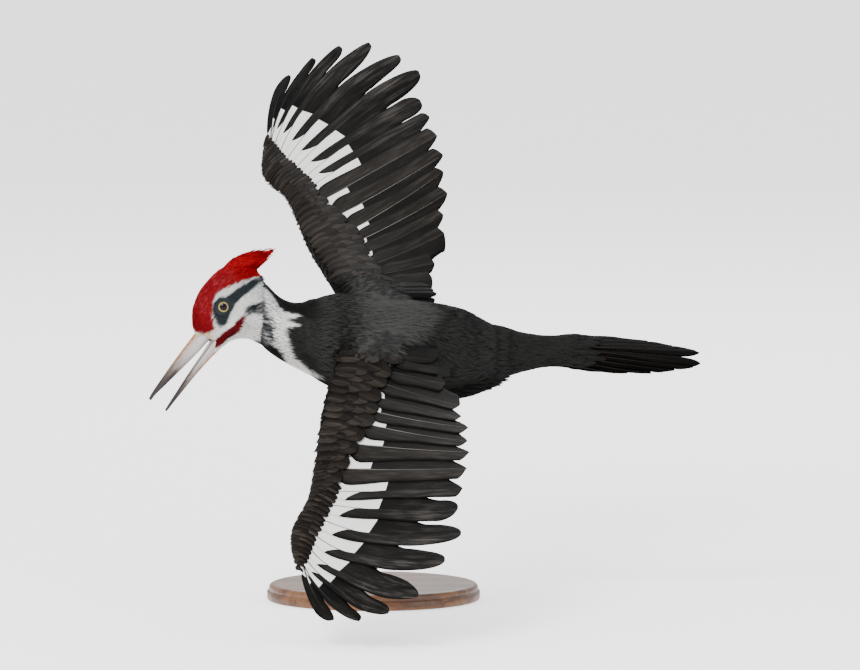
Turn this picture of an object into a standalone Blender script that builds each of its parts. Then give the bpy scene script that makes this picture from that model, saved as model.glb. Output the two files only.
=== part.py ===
"""Pileated woodpecker in banking flight on a plain display stand, life size, in metres, +Z up.

The bird is drawn in its own frame: +X forward along the spine, +Y to its left, +Z to its back, in
millimetres from the middle of the trunk. One parent empty then banks, pitches and lifts it over the
stand, so that it heads along -X with its left wing low. The stand's underside is the plane Z = 0.
"""

import math

import bmesh
import bpy
from mathutils import Matrix, Vector

# ---------------------------------------------------------------- driving dimensions, millimetres
MM = 0.001
GAP = 0.3                      # left between neighbouring pieces
OBJECT_NAME = "pileated_woodpecker"

BANK_DEG = 30.5                # left wing down
PITCH_DEG = 3.3                # bill end up
BIRD_AT = (20.0, 0.0, 190.0)   # middle of the trunk, in the stand's frame

# Trunk stations: forward x, half width, half depth, height of the centre.
TRUNK_STATIONS = (
    (73.0, 27.5, 26.5, 5.0),
    (52.0, 37.0, 33.0, 2.5),
    (20.0, 40.0, 34.5, 0.0),
    (-15.0, 39.0, 34.0, 0.0),
    (-43.0, 34.0, 30.0, 1.0),
    (-70.0, 25.0, 21.0, -1.5),
)
# Rump and tail coverts, from the trunk's rear cut to where the tail feathers stand free.
RUMP_STATIONS = (
    (-70.3, 25.0, 21.0, -1.5),
    (-90.0, 19.5, 14.0, 0.5),
    (-109.0, 17.2, 9.5, 2.5),
    (-128.0, 20.5, 6.0, 4.0),
    (-143.0, 21.5, 3.2, 4.4),
)

# Head: its own frame has +X along the bill, +Z to the crown and its origin between the eyes.
HEAD_AT = (135.0, -5.4, 25.3)
HEAD_ROLL_DEG = 43.7           # undoes the body's bank, so the head stays upright
HEAD_DROOP_DEG = 52.4
HEAD_YAW_DEG = -9.4
# Head stations: top x, top z, bottom x, bottom z, half width.
HEAD_STATIONS = (
    (29.5, 4.0, 26.8, -18.2, 7.6),
    (24.5, 11.0, 22.0, -19.6, 10.8),
    (14.8, 18.3, 16.0, -21.0, 13.8),
    (-0.9, 22.3, 10.5, -25.0, 15.8),
    (-18.0, 20.6, 7.2, -29.0, 17.8),
    (-31.0, 11.5, 5.6, -33.0, 18.6),
    (-37.5, -5.0, 4.6, -37.0, 18.8),
)
CREST_STATIONS = (             # x, top z, bottom z, half width
    (-12.0, 20.8, 2.0, 9.5),
    (-24.0, 20.4, -1.0, 10.5),
    (-38.6, 14.9, -2.5, 8.0),
    (-48.0, 8.4, -2.6, 4.2),
    (-57.9, -0.6, -2.0, 0.8),
)
NECK_MIDDLE = (-23.0, -36.9, 7.1, -53.0, 21.5)   # one station in the head's frame
EYE_RADIUS = 5.2
EYE_SIDE = 12.7                # from the head's middle plane to the eyeball's centre
FACE_LEAN = 0.1216             # the bill's base leans with the face, x per z
FACE_TOP_Z = 4.0
BILL_UPPER = (                 # x, culmen z, cutting edge z, half width
    (29.9, 4.0, -7.7, 7.2),
    (38.0, 3.6, -7.2, 6.3),
    (55.0, 2.6, -5.8, 4.6),
    (72.0, 1.2, -4.2, 3.0),
    (83.0, 0.1, -3.0, 1.9),
    (88.3, -1.4, -2.9, 1.4),
)
BILL_LOWER = (                 # x, upper edge z, keel z, half width
    (29.9, -8.2, -18.0, 7.0),
    (36.0, -9.2, -17.3, 5.9),
    (52.0, -11.2, -16.7, 4.2),
    (70.0, -13.4, -17.0, 2.7),
    (82.0, -14.9, -17.3, 1.7),
    (87.0, -15.9, -17.3, 1.2),
)

# Wing: span y, leading edge x and z. The wing's surface falls forward from its trailing edge.
LEADING_EDGE = (
    (12.0, 44.0, 20.0),
    (38.0, 51.8, 21.0),
    (108.0, 67.4, 10.0),
    (188.0, 78.0, -3.0),
    (221.0, 91.4, -11.1),
    (260.0, 90.5, -11.9),
    (303.0, 84.0, -6.0),
    (344.0, 69.0, -0.5),
)
COVERT_EDGE = (                # span y, x where the coverts end and the bare flight feathers start
    (12.0, -16.0),
    (50.0, 2.0),
    (86.0, 16.0),
    (123.0, 26.0),
    (159.0, 42.0),
    (186.5, 53.5),
    (209.0, 61.0),
    (240.0, 74.0),
    (266.0, 82.5),
    (278.0, 86.5),
)
WING_WASHOUT = 0.47            # rise per millimetre aft, out on the hand
WASHOUT_SPAN = (20.0, 240.0)   # where the twist starts and is complete
CAMBER = 2.0
WRIST_SPAN = 189.0
HAND_END_SPAN = 275.0
ARM_THICKNESS = ((12.0, 17.0), (60.0, 15.0), (120.0, 11.0), (188.0, 10.0), (240.0, 6.5), (278.0, 3.0))
VANE_THICKNESS = 0.9
FEATHER_GAP = 1.8              # between the coverts' edge and the flight feathers' bases
RACHIS_LIFT = 0.55             # ridge of each feather above its edges
# Flight feathers from the wing tip inwards: visible length, and angle out from straight aft.
PRIMARY_COUNT = 8
REMEX_REACH = (70, 89, 106, 118, 117, 115, 99, 95, 90.5, 85, 77, 70.5, 61.5, 57, 38, 28)
REMEX_FAN_DEG = (74.6, 66.8, 60.2, 53.3, 42.3, 36, 29.6, 23.8, 21.2, 19.7, 22.2, 21, 21.6, 22.8, 11, 15)
REMEX_BOW = (3, 4.5, 6, 9, 10, 8, 4, 2, 1, 0, 0, 0, 0, 0, 0, 0)
# Where the slot to the next feather inwards starts, as a share of the reach.
REMEX_SLOT = (0.74, 0.86, 0.80, 0.66, 0.71, 0.76, 0.84, 0.90, 0.92, 0.93, 0.93, 0.92, 0.9, 0.88, 0.86)
PRIMARY_BASE = (196.0, 276.0)  # span of the innermost and outermost primary's base
SECONDARY_BASE = (50.0, 177.0)
SHEET_GAP = 0.6                # between the primaries' sheet and the secondaries'
LAST_VANE_WIDTH = 13.0         # of the innermost feather, towards the body

# Tail: half of its feathers from the middle out: length, sideways place of the tip, bow outwards.
RECTRIX_TIPS = ((83.0, 7.2), (77.5, 11.3), (63.0, 15.8), (45.0, 20.6), (27.0, 21.8))
RECTRIX_SLOT = (0.93, 0.93, 0.92, 0.90)
TAIL_ROOT_X = -143.3
TAIL_ROOT_HALF = 23.0
TAIL_Z = 5.6

# Legs, folded up against the belly. Right-hand side values mirror these.
THIGH_AT = (-34.0, 16.5, -20.5)
THIGH_SEMI = (23.0, 12.5, 14.2)
HEEL_AT = (-48.0, 13.5, -34.5)
SHANK_TOP_AT = (-40.0, 15.0, -28.0)
PALM_AT = (-18.0, 12.5, -42.0)
SHANK_RADIUS = 2.5
PALM_RADIUS = 3.6
TOES = (                       # name, joints after the palm, radius at the palm
    ("inner_front", ((-9.0, 8.0, -44.0), (0.0, 6.5, -43.0), (6.0, 6.0, -40.0)), 2.0),
    ("outer_front", ((-8.0, 13.5, -44.0), (2.0, 13.5, -43.5), (8.0, 13.5, -40.5)), 2.1),
    ("outer_rear", ((-13.5, 19.0, -43.5), (-6.0, 22.5, -43.0), (1.0, 23.5, -40.5)), 2.0),
    ("hind", ((-24.5, 8.0, -44.0), (-30.0, 6.0, -44.5), (-35.0, 5.5, -43.0)), 1.8),
)
CLAW_LENGTH = 8.5
CLAW_RADIUS = 1.15

BASE_RADIUS = 80.0
BASE_HEIGHT = 12.0
BASE_BEVEL = 2.0
ROD_RADIUS = 3.0
COLLAR_RADIUS = 8.0
COLLAR_HEIGHT = 7.0

# Segments round each loft.
BODY_SEGMENTS = 24
BILL_SEGMENTS = 12
WING_SEGMENTS = 14

COLOURS = {                    # base colour, roughness, metallic
    "plumage_black": ((0.022, 0.022, 0.023), 0.75, 0.0),
    "plumage_white": ((0.75, 0.74, 0.70), 0.8, 0.0),
    "plumage_red": ((0.55, 0.012, 0.01), 0.7, 0.0),
    "flight_feather": ((0.018, 0.017, 0.016), 0.55, 0.0),
    "bill_horn": ((0.42, 0.40, 0.36), 0.45, 0.0),
    "eye": ((0.02, 0.02, 0.03), 0.08, 0.0),
    "leg_scale": ((0.10, 0.11, 0.12), 0.6, 0.0),
    "claw": ((0.06, 0.06, 0.06), 0.35, 0.0),
    "stand_base": ((0.06, 0.04, 0.03), 0.4, 0.0),
    "stand_rod": ((0.6, 0.6, 0.6), 0.3, 1.0),
}


# ---------------------------------------------------------------- scene and small helpers
def clear_scene():
    for obj in list(bpy.data.objects):
        bpy.data.objects.remove(obj, do_unlink=True)


def new_collection(name):
    collection = bpy.data.collections.new(name)
    bpy.context.scene.collection.children.link(collection)
    return collection


def new_material(name):
    colour, roughness, metallic = COLOURS[name]
    material = bpy.data.materials.new(name)
    material.use_nodes = True
    shader = material.node_tree.nodes["Principled BSDF"]
    shader.inputs["Base Color"].default_value = (*colour, 1.0)
    shader.inputs["Roughness"].default_value = roughness
    shader.inputs["Metallic"].default_value = metallic
    return material


def hermite(keys, x):
    """Smooth curve through keys, each (x, value, value ...), read at x."""
    rows = sorted(keys)
    x = min(max(x, rows[0][0]), rows[-1][0])
    last = len(rows) - 1
    i = max(k for k in range(last) if rows[k][0] <= x)

    def slope(k, column):
        a, b = rows[max(k - 1, 0)], rows[min(k + 1, last)]
        return (b[column] - a[column]) / (b[0] - a[0])

    width = rows[i + 1][0] - rows[i][0]
    t = (x - rows[i][0]) / width
    values = []
    for column in range(1, len(rows[0])):
        p0, p1 = rows[i][column], rows[i + 1][column]
        m0, m1 = slope(i, column) * width, slope(i + 1, column) * width
        values.append(
            (2 * t**3 - 3 * t**2 + 1) * p0 + (t**3 - 2 * t**2 + t) * m0
            + (3 * t**2 - 2 * t**3) * p1 + (t**3 - t**2) * m1
        )
    return values


def ring(centre, side, up, segments, squareness=2.0):
    """Superellipse of half axes side and up round centre."""
    points = []
    for k in range(segments):
        angle = 2 * math.pi * k / segments
        c, s = math.cos(angle), math.sin(angle)
        a = math.copysign(abs(c) ** (2 / squareness), c)
        b = math.copysign(abs(s) ** (2 / squareness), s)
        points.append(Vector(centre) + Vector(side) * a + Vector(up) * b)
    return points


def loft_mesh(name, rings):
    """Closed mesh through rings of equal length, with flat fans on both ends."""
    bm = bmesh.new()
    rows = [[bm.verts.new(point * MM) for point in points] for points in rings]
    count = len(rows[0])
    for lower, upper in zip(rows, rows[1:]):
        for k in range(count):
            n = (k + 1) % count
            bm.faces.new((lower[k], lower[n], upper[n], upper[k]))
    for row in (rows[0], rows[-1]):
        middle = bm.verts.new(sum((v.co for v in row), Vector()) / count)
        for k in range(count):
            bm.faces.new((row[k], row[(k + 1) % count], middle))
    bmesh.ops.recalc_face_normals(bm, faces=bm.faces)
    mesh = bpy.data.meshes.new(name)
    bm.to_mesh(mesh)
    bm.free()
    return mesh


def add_object(mesh, material, collection, parent=None):
    obj = bpy.data.objects.new(mesh.name, mesh)
    if material:
        mesh.materials.append(material)
    mesh.shade_smooth()
    mesh.set_sharp_from_angle(angle=math.radians(40))
    collection.objects.link(obj)
    obj.parent = parent
    return obj


def add_tool(mesh, parent=None):
    """A cutter: kept out of renders and shown as wire."""
    tool = add_object(mesh, None, TOOLS, parent)
    tool.hide_render = True
    tool.display_type = "WIRE"
    return tool


def boolean(obj, tool, operation):
    modifier = obj.modifiers.new(f"{operation.lower()} {tool.name}", "BOOLEAN")
    modifier.operation = operation
    modifier.solver = "EXACT"
    modifier.object = tool


def mirrored(point, side):
    """side is +1 on the left and -1 on the right."""
    return Vector((point[0], point[1] * side, point[2]))


# ---------------------------------------------------------------- head's frame in the bird's frame
HEAD_TURN = (
    Matrix.Rotation(math.radians(HEAD_ROLL_DEG), 3, "X")
    @ Matrix.Rotation(math.radians(HEAD_DROOP_DEG), 3, "Y")
    @ Matrix.Rotation(math.radians(HEAD_YAW_DEG), 3, "Z")
)


def from_head(point):
    return Vector(HEAD_AT) + HEAD_TURN @ Vector(point)


def head_ring(top_x, top_z, bottom_x, bottom_z, half_width, segments=BODY_SEGMENTS, squareness=2.15):
    """Ring whose top and bottom lie on the head's profile."""
    top, bottom = from_head((top_x, 0, top_z)), from_head((bottom_x, 0, bottom_z))
    side = HEAD_TURN @ Vector((0, half_width, 0))
    return ring((top + bottom) / 2, side, (top - bottom) / 2, segments, squareness)


def trunk_ring(x, half_width, half_depth, z, grow=0.0):
    return ring((x, 0, z), (0, half_width + grow, 0), (0, 0, half_depth + grow), BODY_SEGMENTS, 2.1)


def smooth_rings(stations, count, grow=0.0):
    """Trunk rings at even steps between stations keyed by their first value."""
    first, last = stations[0][0], stations[-1][0]
    rings = []
    for k in range(count):
        x = first + (last - first) * k / (count - 1)
        rings.append(trunk_ring(x, *hermite(stations, x), grow=grow))
    return rings


# ---------------------------------------------------------------- body
def trunk_mesh(name, grow=0.0):
    """The trunk; a positive grow makes a cutter that leaves a gap of that width round it."""
    rings = smooth_rings(TRUNK_STATIONS, 10, grow)
    if grow:
        shift = Vector((grow, 0, 0))
        rings[0] = [point + shift for point in rings[0]]
        rings[-1] = [point - shift for point in rings[-1]]
    return loft_mesh(name, rings)


def add_trunk():
    return add_object(trunk_mesh("trunk"), BLACK, PARTS, BIRD)


def add_rump():
    return add_object(loft_mesh("rump", smooth_rings(RUMP_STATIONS, 8)), BLACK, PARTS, BIRD)


def head_rings(grow=0.0):
    keys = [(float(k), *station) for k, station in enumerate(HEAD_STATIONS)]
    rings = []
    for k in range(11):
        top_x, top_z, bottom_x, bottom_z, half_width = hermite(keys, k / 10 * (len(keys) - 1))
        up = Vector((top_x - bottom_x, 0, top_z - bottom_z)).normalized() * grow
        rings.append(
            head_ring(top_x + up.x, top_z + up.z, bottom_x - up.x, bottom_z - up.z, half_width + grow)
        )
    return rings


def add_head():
    head = add_object(loft_mesh("head", head_rings()), RED, PARTS, BIRD)
    for side, label in ((1, "left"), (-1, "right")):
        socket = sphere_mesh(f"eye_socket_{label}", EYE_RADIUS + GAP, 14, 8)
        tool = add_tool(socket, BIRD)
        tool.location = from_head((0, EYE_SIDE * side, 0)) * MM
        boolean(head, tool, "DIFFERENCE")
    return head


def add_neck():
    """Short neck between two planes: the head's rear cut and the trunk's front cut."""
    last = HEAD_STATIONS[-1]
    aft = (Vector((last[2] - last[0], 0, last[3] - last[1]))).normalized()
    step = Vector((-aft.z, 0, aft.x)) * -GAP
    cut = (last[0] + step.x, last[1] + step.z, last[2] + step.x, last[3] + step.z, last[4])
    front = TRUNK_STATIONS[0]
    first = head_ring(*cut)
    middle = head_ring(*NECK_MIDDLE)
    end = trunk_ring(front[0] + GAP, *front[1:])
    turned = round(BODY_SEGMENTS * HEAD_ROLL_DEG / 360)
    end = end[turned:] + end[:turned]
    rings = []
    for k in range(6):
        t = k / 5
        weights = ((1 - t) ** 2, 2 * t * (1 - t), t**2)
        rings.append(
            [a * weights[0] + b * weights[1] + c * weights[2] for a, b, c in zip(first, middle, end)]
        )
    return add_object(loft_mesh("neck", rings), WHITE, PARTS, BIRD)


def add_crest():
    """Wedge of long crown feathers behind the skull."""
    keys = CREST_STATIONS
    rings = []
    for k in range(9):
        x = keys[0][0] + (keys[-1][0] - keys[0][0]) * k / 8
        top, bottom, half = hermite(keys, x)
        rings.append(head_ring(x, top, x, bottom, half, 16, 1.8))
    crest = add_object(loft_mesh("crest", rings), RED, PARTS, BIRD)
    boolean(crest, add_tool(loft_mesh("crest_seat", head_rings(GAP)), BIRD), "DIFFERENCE")
    return crest


def add_bill():
    """Two chisel-tipped mandibles, open at the gape, each with flat sides up to a ridge."""
    for name, stations, ridge_up in (("bill_upper", BILL_UPPER, True), ("bill_lower", BILL_LOWER, False)):
        rings = []
        for k in range(9):
            x = stations[0][0] + (stations[-1][0] - stations[0][0]) * k / 8
            high, low, half = hermite(stations, x)
            lean = FACE_LEAN * max(0.0, 1 - k / 3)
            section = mandible_section(x, high, low, half, ridge_up)
            rings.append(
                [from_head((point.x + (point.z - FACE_TOP_Z) * lean, point.y, point.z)) for point in section]
            )
        add_object(loft_mesh(name, rings), BILL, PARTS, BIRD)


def mandible_section(x, high, low, half, ridge_up):
    """Section with its ridge towards +Z or -Z and a nearly flat face at the cutting edges."""
    points = []
    for k in range(BILL_SEGMENTS):
        angle = 2 * math.pi * k / BILL_SEGMENTS
        c, s = math.cos(angle), math.sin(angle)
        rise = s if ridge_up else -s
        width = half * (1 - 0.38 * max(rise, 0.0) ** 1.2)
        share = (s + 1) / 2
        if rise < 0:
            share = (math.copysign(abs(s) ** 0.6, s) + 1) / 2
        points.append(Vector((x, width * c, low + (high - low) * share)))
    return points


def sphere_mesh(name, radius, segments, rings):
    bm = bmesh.new()
    bmesh.ops.create_uvsphere(bm, u_segments=segments, v_segments=rings, radius=radius * MM)
    mesh = bpy.data.meshes.new(name)
    bm.to_mesh(mesh)
    bm.free()
    return mesh


def add_eyes():
    for side, label in ((1, "left"), (-1, "right")):
        eye = add_object(sphere_mesh(f"eye_{label}", EYE_RADIUS, 14, 8), EYE, PARTS, BIRD)
        eye.location = from_head((0, EYE_SIDE * side, 0)) * MM


# ---------------------------------------------------------------- wings
def washout(span):
    t = min(max((span - WASHOUT_SPAN[0]) / (WASHOUT_SPAN[1] - WASHOUT_SPAN[0]), 0.0), 1.0)
    return WING_WASHOUT * t * t * (3 - 2 * t)


def wing_point(x, span, lift=0.0):
    """Point of the left wing's middle surface above the plan position (x, span)."""
    lead_x, lead_z = hermite(LEADING_EDGE, span)
    aft = lead_x - x
    arch = CAMBER * math.sin(math.pi * min(max(aft / 125.0, 0.0), 1.0))
    return Vector((x, span, lead_z + washout(span) * aft + arch + lift))


def covert_x(span):
    return hermite(COVERT_EDGE, span)[0]


def wing_section(span):
    """Aerofoil ring from the leading edge round to the coverts' rear edge, thickest well forward."""
    lead = hermite(LEADING_EDGE, span)[0]
    rear = covert_x(span)
    thick = hermite(ARM_THICKNESS, span)[0]
    half = WING_SEGMENTS // 2
    upper, lower = [], []
    for k in range(half + 1):
        t = (1 - math.cos(math.pi * k / half)) / 2
        x = lead + (rear - lead) * t
        body = math.sqrt(max(t, 0.0)) * (1 - t) * 2.6
        swell = 0.5 * (thick * min(body, 1.0) + 1.3 * t)
        upper.append(wing_point(x, span, max(swell, 0.0)))
        lower.append(wing_point(x, span, -max(swell, 0.0)))
    return upper + lower[-1:0:-1]


def add_wing_flesh(side, label):
    """Arm with its coverts from the shoulder to the wrist, then the hand."""
    spans = {
        f"wing_arm_{label}": [12 + (WRIST_SPAN - 12) * k / 9 for k in range(10)],
        f"wing_hand_{label}": [WRIST_SPAN + GAP + (HAND_END_SPAN - WRIST_SPAN - GAP) * k / 6
                               for k in range(7)],
    }
    for name, stations in spans.items():
        rings = [[mirrored(point, side) for point in wing_section(span)] for span in stations]
        flesh = add_object(loft_mesh(name, rings), BLACK, PARTS, BIRD)
        if "arm" in name:
            boolean(flesh, SEAT, "DIFFERENCE")


def remex_base_span(i):
    """Span of a flight feather's base, from the wing tip inwards."""
    if i < PRIMARY_COUNT:
        inward = (PRIMARY_COUNT - 1 - i) / (PRIMARY_COUNT - 1)
        low, high = PRIMARY_BASE
        return low + (high - low) * math.sin(math.pi / 2 * inward ** 1.15)
    low, high = SECONDARY_BASE
    return high - (high - low) * (i - PRIMARY_COUNT) / (len(REMEX_REACH) - PRIMARY_COUNT - 1)


def remex_plan(i, t):
    """Plan position (x, span) at share t along feather i's visible shaft."""
    span = remex_base_span(i)
    angle = math.radians(REMEX_FAN_DEG[i])
    root = Vector((covert_x(span), span))
    tip = root + Vector((-math.cos(angle), math.sin(angle))) * REMEX_REACH[i]
    across = Vector((math.sin(angle), math.cos(angle)))
    start = root - Vector((FEATHER_GAP, 0.0))
    return start.lerp(tip, t) + across * REMEX_BOW[i] * 4 * t * (1 - t)


def border_plan(i, s):
    """Plan position on the border between feathers i and i + 1, at share s of the way to their slot."""
    t = REMEX_SLOT[i] * s
    near = REMEX_REACH[i] * t / REMEX_REACH[i + 1]
    return remex_plan(i, t) * 0.45 + remex_plan(i + 1, min(near, 0.97)) * 0.55


def feather_sheet(name, shafts, borders, outer, inner, side, place):
    """Sheet of neighbouring feathers joined up to their slots, then each with its own rounded tip.

    shafts[i](t) and borders[i](s) are plan curves; outer(s) and inner(s) are the sheet's own edges.
    """
    rows, tip_rows = 3, 4
    bm = bmesh.new()

    def vertex(plan, lift=0.0):
        return bm.verts.new(mirrored(place(plan, lift), side) * MM)

    steps = [k / rows for k in range(rows + 1)]
    edges = [[vertex(curve(s)) for s in steps] for curve in [outer, *borders, inner]]
    for i, shaft in enumerate(shafts):
        left, right = edges[i], edges[i + 1]
        start = (slot_share(shaft, borders, i) if borders else 0.85)
        middle = [vertex(shaft(start * s), RACHIS_LIFT) for s in steps]
        for k in range(rows):
            bm.faces.new((left[k], middle[k], middle[k + 1], left[k + 1]))
            bm.faces.new((middle[k], right[k], right[k + 1], middle[k + 1]))
        ends = [
            (outer if i == 0 else borders[i - 1])(1.0),
            (inner if i == len(shafts) - 1 else borders[i])(1.0),
        ]
        columns = []
        for end, edge in zip(ends, (left, right)):
            reach = end - shaft(start)
            column = [edge[-1]]
            for k in range(1, tip_rows):
                angle = math.pi / 2 * k / tip_rows
                along = start + (1 - start) * math.sin(angle)
                column.append(vertex(shaft(along) + reach * math.cos(angle) ** 0.8))
            columns.append(column)
        ridge = [middle[-1]]
        for k in range(1, tip_rows):
            along = start + (1 - start) * math.sin(math.pi / 2 * k / tip_rows)
            ridge.append(vertex(shaft(along), RACHIS_LIFT * (1 - k / tip_rows)))
        for k in range(tip_rows - 1):
            bm.faces.new((columns[0][k], ridge[k], ridge[k + 1], columns[0][k + 1]))
            bm.faces.new((ridge[k], columns[1][k], columns[1][k + 1], ridge[k + 1]))
        tip = vertex(shaft(1.0))
        bm.faces.new((columns[0][-1], ridge[-1], tip))
        bm.faces.new((ridge[-1], columns[1][-1], tip))
    bmesh.ops.recalc_face_normals(bm, faces=bm.faces)
    mesh = bpy.data.meshes.new(name)
    bm.to_mesh(mesh)
    bm.free()
    sheet = add_object(mesh, FLIGHT, PARTS, BIRD)
    wall = sheet.modifiers.new("vane thickness", "SOLIDIFY")
    wall.thickness = VANE_THICKNESS * MM
    wall.offset = 0.0
    return sheet


def slot_share(shaft, borders, i):
    """Share along a shaft that is level with the nearer of its two slots."""
    near = [borders[k](1.0) for k in (i - 1, i) if 0 <= k < len(borders)]
    base, tip = shaft(0.0), shaft(1.0)
    along = tip - base
    shares = [(point - base).dot(along) / along.length_squared for point in near]
    return min(max(sum(shares) / len(shares), 0.5), 0.95)


def add_wing_feathers(side, label):
    groups = {
        f"wing_primaries_{label}": range(0, PRIMARY_COUNT),
        f"wing_secondaries_{label}": range(PRIMARY_COUNT, len(REMEX_REACH)),
    }
    for name, members in groups.items():
        first, last = members[0], members[-1]
        shafts = [lambda t, i=i: remex_plan(i, t) for i in members]
        borders = [lambda s, i=i: border_plan(i, s) for i in members[:-1]]
        feather_sheet(
            name, shafts, borders, lambda s: outer_edge(first, s), lambda s: inner_edge(last, s),
            side, lambda plan, lift: wing_point(plan[0], plan[1], lift),
        )


def outer_edge(i, s):
    """Free or cut edge of a sheet on its wing-tip side."""
    if i == 0:
        t = REMEX_SLOT[0] * s
        angle = math.radians(REMEX_FAN_DEG[0])
        out = Vector((math.sin(angle), math.cos(angle)))
        return remex_plan(0, t) + out * (3.0 + 3.0 * s)
    border = border_plan(i - 1, s)
    aft = (border_plan(i - 1, 1.0) - border_plan(i - 1, 0.0)).normalized()
    return border + Vector((-aft[1], aft[0])) * SHEET_GAP


def inner_edge(i, s):
    """Free or cut edge of a sheet on its body side."""
    if i < len(REMEX_REACH) - 1:
        return border_plan(i, s)
    angle = math.radians(REMEX_FAN_DEG[i])
    inward = Vector((-math.sin(angle), -math.cos(angle)))
    return remex_plan(i, 0.85 * s) + inward * LAST_VANE_WIDTH * (0.5 + 0.5 * s)


# ---------------------------------------------------------------- tail
def add_tail():
    """Ten stiff pointed feathers, closed into a wedge."""
    tips = [(TAIL_ROOT_X - length, y) for length, y in RECTRIX_TIPS]
    order = [(x, y) for x, y in reversed(tips)] + [(x, -y) for x, y in tips]
    slots = list(reversed(RECTRIX_SLOT)) + [0.76] + list(RECTRIX_SLOT)
    count = len(order)

    def shaft(i, t):
        root = Vector((TAIL_ROOT_X, TAIL_ROOT_HALF * (1 - 2 * (i + 0.5) / count)))
        tip = Vector(order[i])
        bow = 0.04 * (root[1] + tip[1])
        return root + (tip - root) * t + Vector((0, bow * 4 * t * (1 - t)))

    def border(i, s):
        t = slots[i] * s
        other = t * (TAIL_ROOT_X - order[i][0]) / (TAIL_ROOT_X - order[i + 1][0])
        if other > 1:
            t, other = t / other, 0.97
        return (shaft(i, t) + shaft(i + 1, min(other, 0.97))) / 2

    def edge(i, s):
        out = 1 if i == 0 else -1
        return shaft(i, 0.8 * s) + Vector((0, out * (1.6 + 1.2 * s)))

    feather_sheet(
        "tail_feathers",
        [lambda t, i=i: shaft(i, t) for i in range(count)],
        [lambda s, i=i: border(i, s) for i in range(count - 1)],
        lambda s: edge(0, s),
        lambda s: edge(count - 1, s),
        1,
        lambda plan, lift: Vector((plan[0], plan[1], TAIL_Z + lift - 0.004 * plan[1] ** 2)),
    )


# ---------------------------------------------------------------- legs
def tube_mesh(name, points, radii, segments=7):
    """Tapering tube through points, ended by flat fans."""
    rings = []
    side = Vector((0.1, 1.0, 0.2))
    for k, point in enumerate(points):
        ahead = Vector(points[min(k + 1, len(points) - 1)]) - Vector(points[max(k - 1, 0)])
        ahead.normalize()
        side = (side - ahead * side.dot(ahead)).normalized()
        rings.append(ring(point, side * radii[k], ahead.cross(side) * radii[k], segments))
    return loft_mesh(name, rings)


def add_leg(side, label):
    thigh = add_object(sphere_mesh(f"thigh_{label}", 1.0, 16, 10), BLACK, PARTS, BIRD)
    for vertex in thigh.data.vertices:
        semi = Vector(THIGH_SEMI)
        vertex.co = Vector((vertex.co.x * semi.x, vertex.co.y * semi.y, vertex.co.z * semi.z)) \
            + mirrored(THIGH_AT, side) * MM
    boolean(thigh, SEAT, "DIFFERENCE")

    palm = mirrored(PALM_AT, side)
    heel = mirrored(HEEL_AT, side)
    shin = [mirrored(SHANK_TOP_AT, side), heel, heel.lerp(palm, 0.12), heel.lerp(palm, 0.5),
            heel.lerp(palm, 0.85), palm]
    widths = [SHANK_RADIUS * s for s in (1.2, 1.25, 1.1, 0.95, 1.0, 1.0)]
    foot = add_object(sphere_mesh(f"foot_{label}", PALM_RADIUS, 10, 6), LEG, PARTS, BIRD)
    for vertex in foot.data.vertices:
        vertex.co += palm * MM
    boolean(foot, add_tool(tube_mesh(f"shank_{label}", shin, widths, 8), BIRD), "UNION")
    boolean(foot, add_tool(grown_thigh(side, label), BIRD), "DIFFERENCE")
    boolean(foot, SEAT, "DIFFERENCE")
    for toe, joints, radius in TOES:
        path = [palm, *(mirrored(point, side) for point in joints)]
        sizes = [radius * 1.15, radius, radius * 0.85, radius * 0.75]
        boolean(foot, add_tool(tube_mesh(f"toe_{toe}_{label}", path, sizes), BIRD), "UNION")
        add_claw(f"claw_{toe}_{label}", path)


def grown_thigh(side, label):
    mesh = sphere_mesh(f"thigh_room_{label}", 1.0, 16, 10)
    for vertex in mesh.vertices:
        semi = Vector(THIGH_SEMI) + Vector((GAP, GAP, GAP)) * 1.3
        vertex.co = Vector((vertex.co.x * semi.x, vertex.co.y * semi.y, vertex.co.z * semi.z)) \
            + mirrored(THIGH_AT, side) * MM
    return mesh


def add_claw(name, path):
    """Curved claw that starts a gap beyond the toe's last joint and hooks down."""
    ahead = (path[-1] - path[-2]).normalized()
    across = ahead.cross(Vector((0, 0, 1))).normalized()
    root = path[-1] + ahead * GAP
    points, radii = [], []
    for k in range(5):
        t = k / 4
        bend = Matrix.Rotation(math.radians(-55 * t), 3, across)
        points.append(root + (bend @ ahead) * CLAW_LENGTH * t)
        radii.append(CLAW_RADIUS * (1 - t) + 0.18)
    add_object(tube_mesh(name, points, radii, 7), CLAW, PARTS, BIRD)


# ---------------------------------------------------------------- stand
def cylinder_mesh(name, radius, low, high, segments):
    bm = bmesh.new()
    bmesh.ops.create_cone(bm, cap_ends=True, segments=segments, radius1=radius * MM, radius2=radius * MM,
                          depth=(high - low) * MM,
                          matrix=Matrix.Translation((0, 0, (low + high) / 2 * MM)))
    mesh = bpy.data.meshes.new(name)
    bm.to_mesh(mesh)
    bm.free()
    return mesh


def add_stand():
    base = add_object(cylinder_mesh("stand_base", BASE_RADIUS, 0, BASE_HEIGHT, 48), WOOD, PARTS)
    bevel = base.modifiers.new("rounded rim", "BEVEL")
    bevel.width = BASE_BEVEL * MM
    bevel.segments = 2
    bevel.limit_method = "ANGLE"
    low = BASE_HEIGHT + GAP
    add_object(cylinder_mesh("stand_collar", COLLAR_RADIUS, low, low + COLLAR_HEIGHT, 32), STEEL, PARTS)
    rod = cylinder_mesh("stand_rod", ROD_RADIUS, low + COLLAR_HEIGHT + GAP, BIRD_AT[2], 24)
    boolean(add_object(rod, STEEL, PARTS), SEAT, "DIFFERENCE")


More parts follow.
